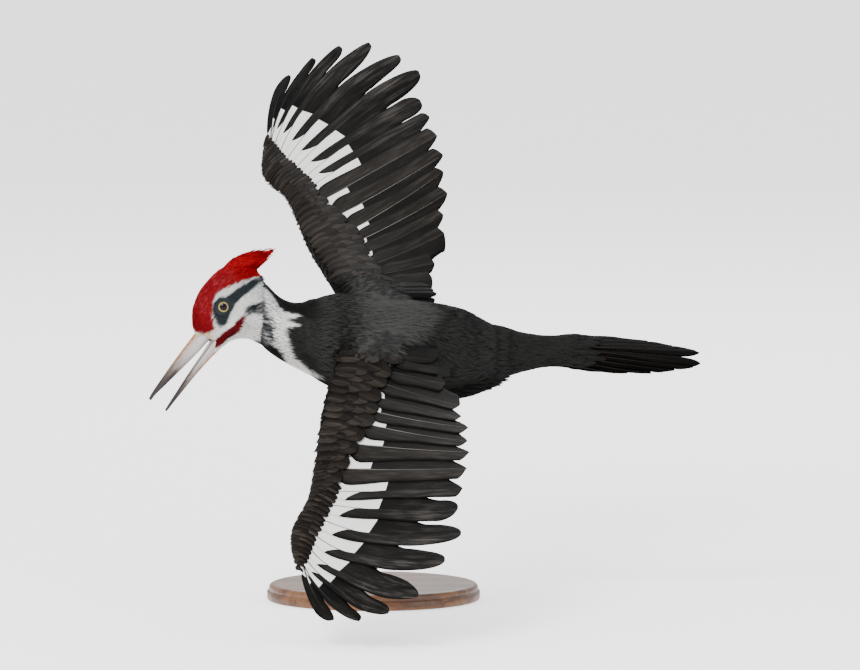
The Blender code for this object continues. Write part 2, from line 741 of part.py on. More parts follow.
# ---------------------------------------------------------------- build
clear_scene()
PARTS = new_collection(OBJECT_NAME)
TOOLS = new_collection("cutters")
BLACK = new_material("plumage_black")
WHITE = new_material("plumage_white")
RED = new_material("plumage_red")
FLIGHT = new_material("flight_feather")
BILL = new_material("bill_horn")
EYE = new_material("eye")
LEG = new_material("leg_scale")
CLAW = new_material("claw")
WOOD = new_material("stand_base")
STEEL = new_material("stand_rod")

BIRD = bpy.data.objects.new("bird_pose", None)
PARTS.objects.link(BIRD)
BIRD.matrix_world = (
    Matrix.Translation(Vector(BIRD_AT) * MM)
    @ Matrix.Rotation(math.pi, 4, "Z")
    @ Matrix.Rotation(math.radians(-PITCH_DEG), 4, "Y")
    @ Matrix.Rotation(math.radians(-BANK_DEG), 4, "X")
)
SEAT = add_tool(trunk_mesh("trunk_room", GAP), BIRD)

add_trunk()
add_rump()
add_neck()
add_head()
add_crest()
add_bill()
add_eyes()
add_tail()
for side, label in ((1, "left"), (-1, "right")):
    add_wing_flesh(side, label)
    add_wing_feathers(side, label)
    add_leg(side, label)
add_stand()
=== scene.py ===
"""Pileated woodpecker in banking flight, life size: skin, plumage, bill, eyes, feet and stand.

Lengths are millimetres in the bird's own frame (+X forward, +Y to its left, +Z to its back, origin in
the middle of the trunk) until a mesh is made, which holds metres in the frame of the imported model.
"""

import math

import bmesh
import bpy
import numpy as np
from bpy.props import FloatProperty, FloatVectorProperty, IntProperty, PointerProperty
from mathutils import Matrix, Vector, noise
from mathutils.bvhtree import BVHTree


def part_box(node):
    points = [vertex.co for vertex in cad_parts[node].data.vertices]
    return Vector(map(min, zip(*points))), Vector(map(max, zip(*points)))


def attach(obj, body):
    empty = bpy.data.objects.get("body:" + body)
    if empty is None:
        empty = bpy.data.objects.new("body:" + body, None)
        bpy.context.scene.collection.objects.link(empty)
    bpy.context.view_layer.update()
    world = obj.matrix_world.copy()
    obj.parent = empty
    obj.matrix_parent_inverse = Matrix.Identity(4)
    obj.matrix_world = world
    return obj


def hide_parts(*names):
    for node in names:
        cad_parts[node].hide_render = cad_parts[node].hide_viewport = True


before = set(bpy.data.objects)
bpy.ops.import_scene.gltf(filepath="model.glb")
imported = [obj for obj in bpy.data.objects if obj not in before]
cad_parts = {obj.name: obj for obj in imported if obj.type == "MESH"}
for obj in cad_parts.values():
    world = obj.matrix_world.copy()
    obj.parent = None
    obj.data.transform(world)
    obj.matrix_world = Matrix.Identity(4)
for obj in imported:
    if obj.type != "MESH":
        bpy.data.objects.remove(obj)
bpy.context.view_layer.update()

bl_info = {
    "name": "Pileated Woodpecker",
    "version": (1, 0, 0),
    "blender": (4, 5, 0),
    "location": "3D View > Sidebar > Woodpecker",
    "description": "Plumage, bill, eyes, feet, stand and studio of a flying pileated woodpecker",
    "category": "Add Mesh",
}

BAKE_MAP = "OFBake"
SIDES = ((1, "left"), (-1, "right"))

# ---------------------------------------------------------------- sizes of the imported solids
MM = 0.001
BANK_DEG = 30.5
PITCH_DEG = 3.3
BIRD_AT = (20.0, 0.0, 190.0)
TRUNK_STATIONS = (             # forward x, half width, half depth, height of the centre
    (73.0, 27.5, 27.5, 5.8), (52.0, 37.0, 34.0, 3.4), (20.0, 40.0, 34.5, 0.0),
    (-15.0, 39.0, 34.0, 0.0), (-43.0, 34.0, 30.0, 1.0), (-70.0, 25.0, 21.0, -1.5),
)
RUMP_STATIONS = (
    (-70.3, 25.0, 21.0, -1.5), (-90.0, 19.5, 14.0, 0.5), (-109.0, 17.2, 9.5, 2.5),
    (-128.0, 20.5, 6.0, 4.0), (-143.0, 21.5, 3.2, 4.4),
)
HEAD_AT = (135.0, -5.4, 25.3)
HEAD_ROLL_DEG = 43.7
HEAD_DROOP_DEG = 52.4
HEAD_YAW_DEG = -9.4
HEAD_STATIONS = (              # top x, top z, bottom x, bottom z, half width, in the head's frame
    (29.5, 4.0, 26.8, -18.2, 7.6), (24.5, 11.0, 22.0, -19.6, 10.8), (14.8, 18.3, 16.0, -21.0, 13.8),
    (-0.9, 22.3, 10.5, -25.0, 15.8), (-18.0, 20.6, 7.2, -29.0, 17.8), (-31.0, 11.5, 5.6, -33.0, 18.6),
    (-37.5, -5.0, 4.6, -37.0, 18.8),
)
UPPER_JAW = (
    (29.3, 4.0, 28.6, -5.4, 7.5), (24.5, 11.0, 23.6, -5.8, 10.7), (17.0, 15.0, 17.0, -6.5, 11.5),
)
LOWER_JAW = (
    (32.2, -12.0, 29.4, -18.0, 6.6), (23.0, -10.4, 22.0, -19.4, 10.2), (17.0, -10.0, 17.0, -20.0, 11.0),
)
CREST_STATIONS = (             # x, top z, bottom z, half width
    (-12.0, 20.8, 2.0, 9.5), (-24.0, 20.3, -1.0, 10.5), (-38.6, 14.4, -2.5, 8.0),
    (-48.0, 7.6, -2.6, 4.4), (-57.9, -0.6, -2.0, 1.2),
)
NECK_MIDDLE = (-28.4, -32.5, 7.1, -53.0, 21.5)
EYE_RADIUS = 5.2
EYE_SIDE = 12.7
FACE_LEAN = 0.1216
FACE_TOP_Z = 4.0
BILL_UPPER = (                 # x, culmen z, cutting edge z, half width
    (22.0, 5.0, -7.9, 8.9), (29.9, 4.0, -7.5, 7.2), (38.0, 3.6, -7.2, 6.3), (55.0, 2.6, -5.8, 4.6),
    (72.0, 1.2, -4.2, 3.0), (83.0, 0.1, -3.0, 1.9), (88.3, -0.9, -3.2, 1.6),
)
BILL_LOWER = (                 # x, upper edge z, keel z, half width
    (22.0, -7.9, -18.0, 8.6), (29.9, -8.7, -18.0, 7.0), (36.0, -9.5, -17.3, 5.9), (52.0, -11.2, -16.7, 4.2),
    (70.0, -13.4, -17.0, 2.7), (82.0, -14.9, -17.3, 1.7), (87.0, -15.6, -17.5, 1.4),
)
LEADING_EDGE = (               # span y, leading edge x and z
    (12.0, 44.0, 20.0), (38.0, 51.8, 21.0), (108.0, 67.4, 10.0), (188.0, 78.0, -3.0),
    (221.0, 91.4, -11.1), (260.0, 90.5, -11.9), (303.0, 84.0, -6.0), (344.0, 69.0, -0.5),
)
COVERT_EDGE = (                # span y, x where the bare flight feathers start
    (12.0, -16.0), (50.0, 2.0), (86.0, 16.0), (123.0, 26.0), (159.0, 42.0),
    (186.5, 53.5), (209.0, 61.0), (240.0, 74.0), (266.0, 82.5), (278.0, 86.5),
)
WING_WASHOUT = 0.47
WASHOUT_SPAN = (20.0, 240.0)
CAMBER = 2.0
CAMBER_CHORD = 125.0
HAND_END_SPAN = 275.0
WRIST_SPAN = 189.0
ARM_THICKNESS = ((12.0, 17.0), (60.0, 15.0), (120.0, 11.0), (188.0, 10.0), (240.0, 6.5), (278.0, 3.0))
PRIMARY_COUNT = 8
REMEX_REACH = (70, 89, 106, 118, 117, 115, 99, 95, 90.5, 85, 77, 70.5, 61.5, 57, 38, 28)
REMEX_FAN_DEG = (74.6, 66.8, 60.2, 53.3, 42.3, 36, 29.6, 23.8, 21.2, 19.7, 22.2, 21, 21.6, 22.8, 11, 15)
REMEX_BOW = (3, 4.5, 6, 9, 10, 8, 4, 2, 1, 0, 0, 0, 0, 0, 0, 0)
REMEX_SLOT = (0.74, 0.86, 0.80, 0.66, 0.71, 0.76, 0.84, 0.90, 0.92, 0.93, 0.93, 0.92, 0.9, 0.88, 0.86)
PRIMARY_BASE = (196.0, 276.0)
PRIMARY_BASE_CURVE = 1.15
SECONDARY_BASE = (50.0, 177.0)
SHAFT_ROOTS = (276.0, 273.4, 266.1, 254.8, 240.7, 225.1, 209.3, 194.5, 172.0, 147.5, 127.0, 111.5, 95.0,
               79.0, 64.0, 50.0)
FEATHER_GAP = 1.8
LAST_VANE_WIDTH = 13.0
RECTRIX_TIPS = ((83.0, 7.2), (77.5, 11.3), (63.0, 15.8), (45.0, 20.6), (27.0, 21.8))
TAIL_ROOT_X = -143.3
TAIL_ROOT_HALF = 23.0
TAIL_Z = 5.6
TAIL_DROOP = 0.004
THIGH_AT = (-34.0, 16.5, -20.5)
THIGH_SEMI = (23.0, 12.5, 14.2)
PALM_AT = (-18.0, 12.5, -42.0)
TOES = (
    ("inner_front", ((-9.0, 8.0, -44.0), (0.0, 6.5, -43.0), (6.0, 6.0, -40.0))),
    ("outer_front", ((-8.0, 13.5, -44.0), (2.0, 13.5, -43.5), (8.0, 13.5, -40.5))),
    ("outer_rear", ((-13.5, 19.0, -43.5), (-6.0, 22.5, -43.0), (1.0, 23.5, -40.5))),
    ("hind", ((-24.5, 8.0, -44.0), (-30.0, 6.0, -44.5), (-35.0, 5.5, -43.0))),
)
CLAW_LENGTH = 8.5
CLAW_RADIUS = 1.15
CLAW_HOOK_DEG = 55.0
CLAW_GAP = 0.3
BASE_RADIUS = 80.0
BASE_HEIGHT = 12.0
ROD_RADIUS = 3.0
COLLAR_RADIUS = 8.0
COLLAR_HEIGHT = 7.0
STAND_GAP = 0.3

# ---------------------------------------------------------------- markings, in the head's frame
CROWN_RED = (
    (27.5, 6.5), (23.0, -2.9), (20.2, -4.9), (16.1, -4.7), (11.1, 1.1), (6.3, 5.7), (0.4, 9.0),
    (-4.5, 10.4), (-8.2, 9.2), (-13.9, 6.3), (-19.8, 3.7), (-26.9, -0.2), (-33.0, -3.5),
    (-40.0, -8.0), (-82.0, -10.0), (-82.0, 14.0), (-30.0, 30.0), (0.0, 32.0), (24.0, 22.0), (33.0, 8.0),
)
EYE_MASK = (
    (3.4, 7.6), (8.5, 3.4), (12.6, -1.8), (13.5, -7.0), (11.0, -9.3), (7.0, -9.8), (2.1, -8.0),
    (-6.4, -5.6), (-10.6, -5.5), (-15.8, -6.3), (-23.9, -7.9), (-29.0, -8.8), (-35.0, -9.0),
    (-31.2, -4.2), (-23.7, -1.6), (-15.7, 1.5), (-8.1, 3.4), (-3.8, 7.3),
)
MALAR_RED = (
    (-6.9, -15.3), (-4.7, -17.7), (0.9, -20.2), (7.4, -20.6), (15.5, -18.3), (23.6, -16.4),
    (32.5, -13.4), (28.0, -11.2), (20.8, -10.8), (15.5, -11.8), (6.9, -14.0), (1.0, -14.5),
)
NECK_STRIPE = (
    (-8.9, -13.7), (-15.0, -14.5), (-18.3, -17.2), (-23.7, -20.3), (-22.5, -23.4), (-19.2, -27.3),
    (-16.4, -31.8), (-12.2, -38.2), (-5.0, -45.0), (1.0, -37.0), (-4.5, -33.4), (-10.5, -30.2),
    (-14.6, -25.7), (-12.0, -22.6), (-11.0, -20.1), (-6.5, -17.3),
)
FORE_NECK = (
    (3.5, -33.5), (-3.2, -40.7), (-2.7, -46.6), (-2.8, -53.1), (-1.2, -57.7), (1.8, -64.5),
    (0.5, -74.0), (-6.0, -90.0), (25.0, -90.0), (25.0, -36.0),
)
NECK_WHITE = (
    (30.0, 10.0), (-36.0, 10.0), (-33.4, -8.0), (-31.0, -20.0), (-27.0, -31.0), (-26.0, -36.0),
    (-33.3, -49.2), (-22.5, -42.0), (-26.5, -52.5), (-17.5, -45.5), (-15.0, -48.2), (-11.7, -52.1),
    (-8.3, -57.1), (-4.7, -64.5), (-5.6, -74.6), (-9.2, -87.9), (-2.0, -80.0), (30.0, -60.0),
)
SHOULDER_BLACK = (
    (-24.0, -27.0), (-27.2, -36.9), (-33.0, -44.5), (-43.6, -52.0), (-58.0, -56.0), (-60.0, -44.0),
)
BRISTLE_BASE = ((28.8, 6.0), (26.0, -0.6), (21.0, -5.4), (20.5, -9.0), (34.0, -9.0), (34.0, 8.0))
# Along each flight feather from the coverts' edge: where the white of its two vanes ends.
INNER_WHITE = (17, 28, 36, 38.5, 40, 39.5, 34.5, 32.5, 12, 11, 5, -3.5, -4)
OUTER_WHITE = (1, 6, 13, 17, 18, 15, 10, 7)
WHITE_SLANT = 8.0              # the outer vane's white reaches this much further at the shaft
OUTER_SHARE = ((0.60, 0.40), (0.72, 0.56))   # outer vane's share of the spacing: base and end, by group


# ---------------------------------------------------------------- numbers
def hermite(keys, x):
    """Smooth curve through keys (x, value ...), read at each x: one row of values for each."""
    rows = np.array(sorted(keys), float)
    at, values = rows[:, 0], rows[:, 1:]
    x = np.clip(np.atleast_1d(np.asarray(x, float)), at[0], at[-1])
    shape = x.shape
    x = x.ravel()
    order = np.arange(len(at))
    before, after = np.maximum(order - 1, 0), np.minimum(order + 1, len(at) - 1)
    slope = (values[after] - values[before]) / (at[after] - at[before])[:, None]
    i = np.clip(np.searchsorted(at, x, side="right") - 1, 0, len(at) - 2)
    width = (at[i + 1] - at[i])[:, None]
    t = (x - at[i])[:, None] / width
    found = (
        (2 * t**3 - 3 * t**2 + 1) * values[i] + (t**3 - 2 * t**2 + t) * slope[i] * width
        + (3 * t**2 - 2 * t**3) * values[i + 1] + (t**3 - t**2) * slope[i + 1] * width
    )
    return found.reshape(*shape, -1)


def ramp(x, low, high):
    """Smooth step from 0 at low to 1 at high, which may be the lower of the two."""
    t = np.clip((np.asarray(x, float) - low) / (high - low), 0.0, 1.0)
    return t * t * (3 - 2 * t)


def unit(vectors):
    """Vectors of length 1 in the same directions."""
    return vectors / np.maximum(np.linalg.norm(vectors, axis=-1, keepdims=True), 1e-9)


def wobble(points, size, seed):
    """Smooth noise between about -1 and 1 that changes over the given size."""
    shift = Vector((seed * 17.3, seed * 5.1, seed * 9.7))
    return np.array([noise.noise(Vector(p) / size + shift) for p in points.tolist()]) * 1.6


def inside(points, outline):
    """Distance to an outline's edge, positive for points within it."""
    a = np.array(outline, float)
    ab = np.roll(a, -1, axis=0) - a
    p = points[:, None, :]
    t = np.clip(((p - a) * ab).sum(-1) / (ab**2).sum(-1), 0, 1)
    near = np.linalg.norm(p - (a + t[..., None] * ab), axis=-1).min(axis=1)
    crossed = (a[:, 1] > p[..., 1]) != (a[:, 1] + ab[:, 1] > p[..., 1])
    rise = np.where(ab[:, 1] == 0, 1e-9, ab[:, 1])
    right = p[..., 0] < a[:, 0] + (p[..., 1] - a[:, 1]) * ab[:, 0] / rise
    return np.where((crossed & right).sum(axis=1) % 2 == 1, near, -near)


def tone(code):
    """Linear colour of a hexadecimal screen colour."""
    screen = [int(code[k:k + 2], 16) / 255 for k in (0, 2, 4)]
    return tuple(c / 12.92 if c <= 0.04045 else ((c + 0.055) / 1.055) ** 2.4 for c in screen)


# ---------------------------------------------------------------- frames
def rotation(axis, degrees):
    """Matrix of a turn about one of the bird's axes."""
    return np.array(Matrix.Rotation(math.radians(degrees), 3, axis))


BIRD_TURN = rotation("Z", 180) @ rotation("Y", -PITCH_DEG) @ rotation("X", -BANK_DEG)
HEAD_TURN = rotation("X", HEAD_ROLL_DEG) @ rotation("Y", HEAD_DROOP_DEG) @ rotation("Z", HEAD_YAW_DEG)


def to_world(points):
    """From the bird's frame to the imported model's."""
    return (np.asarray(points, float) @ BIRD_TURN.T + BIRD_AT) * MM


def to_bird(points):
    """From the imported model's frame to the bird's."""
    return (np.asarray(points, float) / MM - BIRD_AT) @ BIRD_TURN


def from_head(points):
    """From the head's frame, with its origin in the eyes' axis, to the bird's."""
    return np.asarray(points, float) @ HEAD_TURN.T + HEAD_AT


def to_head(points):
    """From the bird's frame to the head's."""
    return (points - np.array(HEAD_AT)) @ HEAD_TURN


# ---------------------------------------------------------------- objects and values
ATTRIBUTE_KINDS = {1: ("FLOAT", "value"), 3: ("FLOAT_VECTOR", "vector"), 4: ("FLOAT_COLOR", "color")}


def new_object(name, data):
    """Object with the given data, in the scene."""
    obj = bpy.data.objects.new(name, data)
    bpy.context.scene.collection.objects.link(obj)
    return obj


def set_values(mesh, **values):
    """Named values at each point of a mesh: one number, a vector or a colour."""
    for name, value in values.items():
        kind, field = ATTRIBUTE_KINDS[1 if value.ndim == 1 else value.shape[1]]
        attribute = mesh.attributes.new(name, kind, "POINT")
        attribute.data.foreach_set(field, value.astype(np.float32).ravel())


def get_values(mesh, name, width):
    """Values of an attribute at each point, as an array of the given width."""
    values = np.empty(len(mesh.vertices) * width, np.float32)
    mesh.attributes[name].data.foreach_get(ATTRIBUTE_KINDS[width][1], values)
    return values.reshape(-1, width).astype(float) if width > 1 else values.astype(float)


def set_bake_places(mesh, places):
    """Place of each face corner on the bake's map."""
    layer = mesh.uv_layers.new(name=BAKE_MAP)
    layer.data.foreach_set("uv", places.astype(np.float32).ravel())


def read_points(mesh, items="vertices", field="co"):
    """A vector for each point of a mesh: its place, or another field."""
    points = np.empty(len(mesh.vertices) * 3, np.float32)
    getattr(mesh, items).foreach_get(field, points)
    return points.reshape(-1, 3).astype(float)


def finished_mesh(obj, name):
    """Plain mesh of an object with its modifiers done; the object itself goes."""
    graph = bpy.context.evaluated_depsgraph_get()
    graph.update()
    mesh = bpy.data.meshes.new_from_object(obj.evaluated_get(graph), preserve_all_data_layers=True,
                                           depsgraph=graph)
    mesh.name = name
    discard(obj)
    return mesh


def discard(obj):
    """Removes an object together with its mesh."""
    mesh = obj.data
    bpy.data.objects.remove(obj, do_unlink=True)
    bpy.data.meshes.remove(mesh)


def grown_together(rough, name, voxel, smoothing):
    """One even mesh in place of an object of several overlapping parts."""
    grown = rough.modifiers.new("one surface", "REMESH")
    grown.mode = "VOXEL"
    grown.voxel_size = voxel
    grown.use_smooth_shade = True
    soft = rough.modifiers.new("soften", "SMOOTH")
    soft.factor = 0.5
    soft.iterations = smoothing
    return new_object(name, finished_mesh(rough, name))


# ---------------------------------------------------------------- shapes
class Shape:
    """Points in the bird's frame, faces of three or four points, and values at each point.

    A triangle's fourth index is -1. bake holds each point's place on the bake's map, and bake_faces
    the points whose places a face's corners take, where these aren't its own.
    """

    def __init__(self, points, faces, bake=None, bake_faces=None, **values):
        self.points = np.asarray(points, float)
        self.faces = np.asarray(faces, int)
        self.bake = bake
        self.bake_faces = self.faces if bake_faces is None else bake_faces
        self.values = {name: np.asarray(value, float) for name, value in values.items()}

    def polygons(self):
        return [row[row >= 0].tolist() for row in self.faces]

    def facing_out(self):
        a, b, c, d = (self.points[self.faces[:, k]] for k in range(4))
        d = np.where(self.faces[:, 3:] < 0, c, d)
        middle = self.points.mean(axis=0)
        volume = (np.cross(c - a, d - b) * (a + c - 2 * middle)).sum()
        if volume < 0:
            for faces in {id(self.faces): self.faces, id(self.bake_faces): self.bake_faces}.values():
                faces[:] = np.where(faces[:, 3:] < 0, faces[:, [2, 1, 0, 3]], faces[:, ::-1])
        return self

    def mirrored(self, side):
        """The shape itself on the left, its mirror image on the right."""
        if side < 0:
            self.points = self.points * (1, -1, 1)
            self.facing_out()
        return self

    @staticmethod
    def joined(shapes):
        starts = np.cumsum([0] + [len(s.points) for s in shapes])

        def moved(faces, start):
            return np.where(faces < 0, -1, faces + start)

        return Shape(
            np.concatenate([s.points for s in shapes]),
            np.concatenate([moved(s.faces, n) for s, n in zip(shapes, starts)]),
            None if shapes[0].bake is None else np.concatenate([s.bake for s in shapes]),
            np.concatenate([moved(s.bake_faces, n) for s, n in zip(shapes, starts)]),
            **{name: np.concatenate([s.values[name] for s in shapes]) for name in shapes[0].values},
        )

    def build(self, name, material=None, place=to_world):
        """New object with the shape as its mesh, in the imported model's frame."""
        mesh = bpy.data.meshes.new(name)
        mesh.from_pydata(place(self.points).tolist(), [], self.polygons())
        set_values(mesh, **self.values)
        if self.bake is not None:
            set_bake_places(mesh, self.bake[self.bake_faces[self.faces >= 0]])
        mesh.shade_smooth()
        if material:
            mesh.materials.append(material)
        return new_object(name, mesh)


def grid_faces(rows, columns, closed=False):
    """Quads over a grid of points, round it too where it is closed."""
    r, c = np.meshgrid(np.arange(rows - 1), np.arange(columns - (not closed)), indexing="ij")
    r, c = r.ravel() * columns, c.ravel()
    n = (c + 1) % columns
    return np.column_stack([r + c, r + n, r + columns + n, r + columns + c])


def loft(rings, **values):
    """Closed shape through rings of equal length, with a fan on each end."""
    rings = np.asarray(rings, float)
    count, size = rings.shape[:2]
    points = np.concatenate([rings.reshape(-1, 3), rings[:1].mean(axis=1), rings[-1:].mean(axis=1)])
    k = np.arange(size)
    n = (k + 1) % size
    none = np.full(size, -1)
    last = (count - 1) * size
    ends = [
        np.column_stack([n, k, np.full(size, count * size), none]),
        np.column_stack([last + k, last + n, np.full(size, count * size + 1), none]),
    ]
    filled = {}
    for name, value in values.items():
        value = np.asarray(value, float)
        flat = value.reshape(count * size, *value.shape[2:])
        filled[name] = np.concatenate([flat, value[:1].mean(axis=1), value[-1:].mean(axis=1)])
    return Shape(points, np.concatenate([grid_faces(count, size, True), *ends]), **filled).facing_out()


def superellipse(centre, side, up, count, squareness=2.0):
    """Ring between an ellipse and a rectangle with the given half axes."""
    angle = 2 * np.pi * np.arange(count) / count
    c, s = np.cos(angle), np.sin(angle)
    a = np.sign(c) * np.abs(c) ** (2 / squareness)
    b = np.sign(s) * np.abs(s) ** (2 / squareness)
    return np.asarray(centre) + a[:, None] * np.asarray(side) + b[:, None] * np.asarray(up)


def tube(points, radii, segments=16):
    """Closed tube of changing radius along points."""
    points = np.asarray(points, float)
    side = np.array((0.1, 1.0, 0.2))
    rings = []
    for k, point in enumerate(points):
        ahead = unit(points[min(k + 1, len(points) - 1)] - points[max(k - 1, 0)])
        side = unit(side - ahead * (side @ ahead))
        rings.append(superellipse(point, side * radii[k], np.cross(ahead, side) * radii[k], segments))
    return loft(rings)


# ---------------------------------------------------------------- node trees
class Value:
    """A node's output whose arithmetic adds Math nodes."""

    def __init__(self, tree, socket):
        self.tree, self.socket = tree, socket

    def __add__(self, other):
        return self.tree.math("ADD", self, other)

    def __sub__(self, other):
        return self.tree.math("SUBTRACT", self, other)

    def __rsub__(self, other):
        return self.tree.math("SUBTRACT", other, self)

    def __mul__(self, other):
        return self.tree.math("MULTIPLY", self, other)

    __radd__, __rmul__ = __add__, __mul__


class Tree:
    """Shorthand for adding nodes: type, settings first, then the values or links of its sockets."""

    def __init__(self, tree):
        self.tree = tree

    def node(self, kind, settings=None, inputs=None):
        node = self.tree.nodes.new(kind)
        for key, value in (settings or {}).items():
            setattr(node, key, value)
        for key, value in (inputs or {}).items():
            self.feed(self.pick(node.inputs, key), value)
        return node

    @staticmethod
    def pick(sockets, key):
        if isinstance(key, int):
            return sockets[key]
        return next(s for s in sockets if s.name == key and s.enabled)

    def feed(self, socket, value):
        if isinstance(value, Value):
            value = value.socket
        if isinstance(value, bpy.types.NodeSocket):
            self.tree.links.new(value, socket)
        else:
            socket.default_value = value

    def out(self, node, key=0):
        return Value(self, self.pick(node.outputs, key))

    def math(self, operation, a, b=0.0):
        return self.out(self.node("ShaderNodeMath", {"operation": operation}, {0: a, 1: b}))

    def combine(self, x=0.0, y=0.0, z=0.0):
        return self.out(self.node("ShaderNodeCombineXYZ", None, {0: x, 1: y, 2: z}))

    def vector(self, operation, a, b=None, scale=None):
        inputs = {0: a}
        if b is not None:
            inputs[1] = b
        if scale is not None:
            inputs["Scale"] = scale
        return self.out(self.node("ShaderNodeVectorMath", {"operation": operation}, inputs))


class Paint(Tree):
    """A procedural material on one Principled shader."""

    def __init__(self, name, **constants):
        self.material = bpy.data.materials.new("fine_" + name)
        self.material.use_nodes = True
        super().__init__(self.material.node_tree)
        self.shader = self.tree.nodes["Principled BSDF"]
        for key, value in constants.items():
            self.shader.inputs[key.replace("_", " ")].default_value = value

    def attribute(self, name, output="Fac"):
        return self.out(self.node("ShaderNodeAttribute", {"attribute_name": name}), output)

    def object_place(self):
        return self.out(self.node("ShaderNodeTexCoord"), "Object")

    def noise(self, place, scale, detail=2.0, roughness=0.5):
        inputs = {"Scale": scale, "Detail": detail, "Roughness": roughness, "Vector": place}
        return self.out(self.node("ShaderNodeTexNoise", None, inputs), "Fac")

    def step(self, value, low, high):
        """Smooth step from 0 at low to 1 at high."""
        inputs = {"Value": value, "From Min": low, "From Max": high}
        return self.out(self.node("ShaderNodeMapRange", {"interpolation_type": "SMOOTHSTEP"}, inputs))

    def mix(self, factor, a, b):
        """Blend of two colours; its sockets of colour are 6, 7 and 2."""
        a, b = ((*c, 1.0) if isinstance(c, tuple) and len(c) == 3 else c for c in (a, b))
        return self.out(self.node("ShaderNodeMix", {"data_type": "RGBA"}, {0: factor, 6: a, 7: b}), 2)

    def scaled(self, colour, value):
        """A colour made lighter or darker by a value."""
        return self.vector("SCALE", colour, scale=value)

    def cells(self, place, scale):
        """Distance to the middle of the nearest of many cells."""
        node = self.node("ShaderNodeTexVoronoi", None, {"Vector": place, "Scale": scale})
        return self.out(node, "Distance")

    def bump(self, height, distance, strength=1.0):
        inputs = {"Height": height, "Distance": distance, "Strength": strength}
        self.feed(self.shader.inputs["Normal"], self.out(self.node("ShaderNodeBump", None, inputs)))

    def set(self, name, value):
        self.feed(self.shader.inputs[name], value)


# ---------------------------------------------------------------- settings
def colour_property(name, code, description):
    return FloatVectorProperty(name=name, description=description, subtype="COLOR", size=3, min=0, max=1,
                               default=tone(code))


def length_property(name, description, metres, **limits):
    return FloatProperty(name=name, description=description, subtype="DISTANCE", unit="LENGTH",
                         default=metres, **limits)


def angle_property(name, description, degrees):
    return FloatProperty(name=name, description=description, subtype="ANGLE", unit="ROTATION",
                         default=math.radians(degrees))


class WoodpeckerColours(bpy.types.PropertyGroup):
    """Colours of the plumage and the bare parts."""
    crown: colour_property("Crown red", "84101a", "Forehead and crown")
    # painted highlight: pale streaks along the crown's feathers
    crown_highlight: colour_property("Crown streaks", "c05a58", "Pale streaks along the crown")
    crest: colour_property("Crest red", "92060f", "Long feathers of the crest")
    malar: colour_property("Malar red", "5c0810", "Stripe behind the gape")
    white: colour_property("White", "dedddb", "Face, neck band, wing patches and linings")
    throat: colour_property("Throat", "b8b6b2", "Chin and throat")
    neck_grey: colour_property("Neck grey", "9a9d9f", "Side of the neck")
    slate: colour_property("Slate", "2b3235", "Stripe through the eye and down the neck")
    mantle: colour_property("Mantle", "3c3c3b", "Upper back")
    back: colour_property("Rump", "2f2f2e", "Lower back and rump")
    black: colour_property("Black", "111110", "Shoulders, belly and fore neck")
    covert: colour_property("Coverts", "211d1a", "Feathers over the arm")
    secondary: colour_property("Secondaries", "1c1a18", "Inner flight feathers")
    primary: colour_property("Primaries", "181716", "Outer flight feathers")
    tail: colour_property("Tail", "070605", "Stiff tail feathers")
    bristle: colour_property("Bristles", "dccda6", "Tufts over the nostrils")
    bill: colour_property("Bill", "a7a09f", "Horn of the bill near its base")
    bill_tip: colour_property("Bill tip", "2a2322", "Horn of the bill at its tip")
    iris: colour_property("Iris", "9c884a", "Ring round the pupil")
    leg: colour_property("Legs", "4c5256", "Scaled skin of the feet")
    wood: colour_property("Stand wood", "4a2f1e", "Turned base of the stand")


class WoodpeckerCoat(bpy.types.PropertyGroup):
    """How the small feathers lie."""
    skin_detail: length_property("Skin detail", "Size of the skin's faces", 0.0015, min=0.0005)
    spacing: FloatProperty(name="Spacing", description="Factor on the distance between feathers",
                           default=1.0, min=0.5, max=3.0)
    lift: FloatProperty(name="Lift", description="Factor on how far the feathers stand out", default=1.0)
    unevenness: angle_property("Unevenness", "How far a feather may turn aside", 9)
    seed: IntProperty(name="Seed", description="Start of the random draws", default=7)


class WoodpeckerWing(bpy.types.PropertyGroup):
    """Flight feathers and coverts."""
    thickness: length_property("Vane thickness", "Thickness of a flight feather", 0.0004)
    shaft: length_property("Shaft radius", "Radius of a flight feather's shaft at its base", 0.0006)
    fray: FloatProperty(name="Fray", description="Unevenness of the vanes' edges", default=0.035)
    seed: IntProperty(name="Seed", description="Start of the random draws", default=3)


class WoodpeckerStage(bpy.types.PropertyGroup):
    """Camera, lights and floor."""
    azimuth: angle_property("Azimuth", "Camera's angle round the bird", -5.43)
    elevation: angle_property("Elevation", "Camera's angle above the floor", 6.0)
    distance: length_property("Distance", "Camera's distance from the bird", 14.0)
    width: length_property("Picture width", "Width of the view at the bird", 0.645)
    shift_right: length_property("Aim right", "Aim to the right of the trunk's middle", 0.0225)
    shift_up: length_property("Aim up", "Aim above the trunk's middle", 0.0090)
    floor_size: length_property("Floor size", "Side of the floor", 120.0)


# ---------------------------------------------------------------- materials
def coat_material():
    """Small feathers: colour from the marking under each root, barbs along each feather, painted shade
    towards the root.
    """
    paint = Paint("plumage", Roughness=0.62, Specular_IOR_Level=0.04)
    colour = paint.attribute("plumage", "Color")
    along, across, shade = (paint.attribute(name) for name in ("along", "across", "shade"))
    place = paint.combine(along * 1.6, across * 5.0, shade * 90.0)
    barbs = paint.noise(place, 2.4, 3.0, 0.6)
    # painted shade: each feather is darker towards its root, where the feathers above overlap it
    tint = 0.75 + shade * 0.14 + (barbs - 0.5) * 0.4 + paint.step(along, 0.0, 0.7) * 0.16
    paint.set("Base Color", paint.scaled(colour, tint))
    paint.set("Roughness", 0.5 + barbs * 0.25)
    paint.bump(barbs, 0.0003, 0.5)
    return paint.material


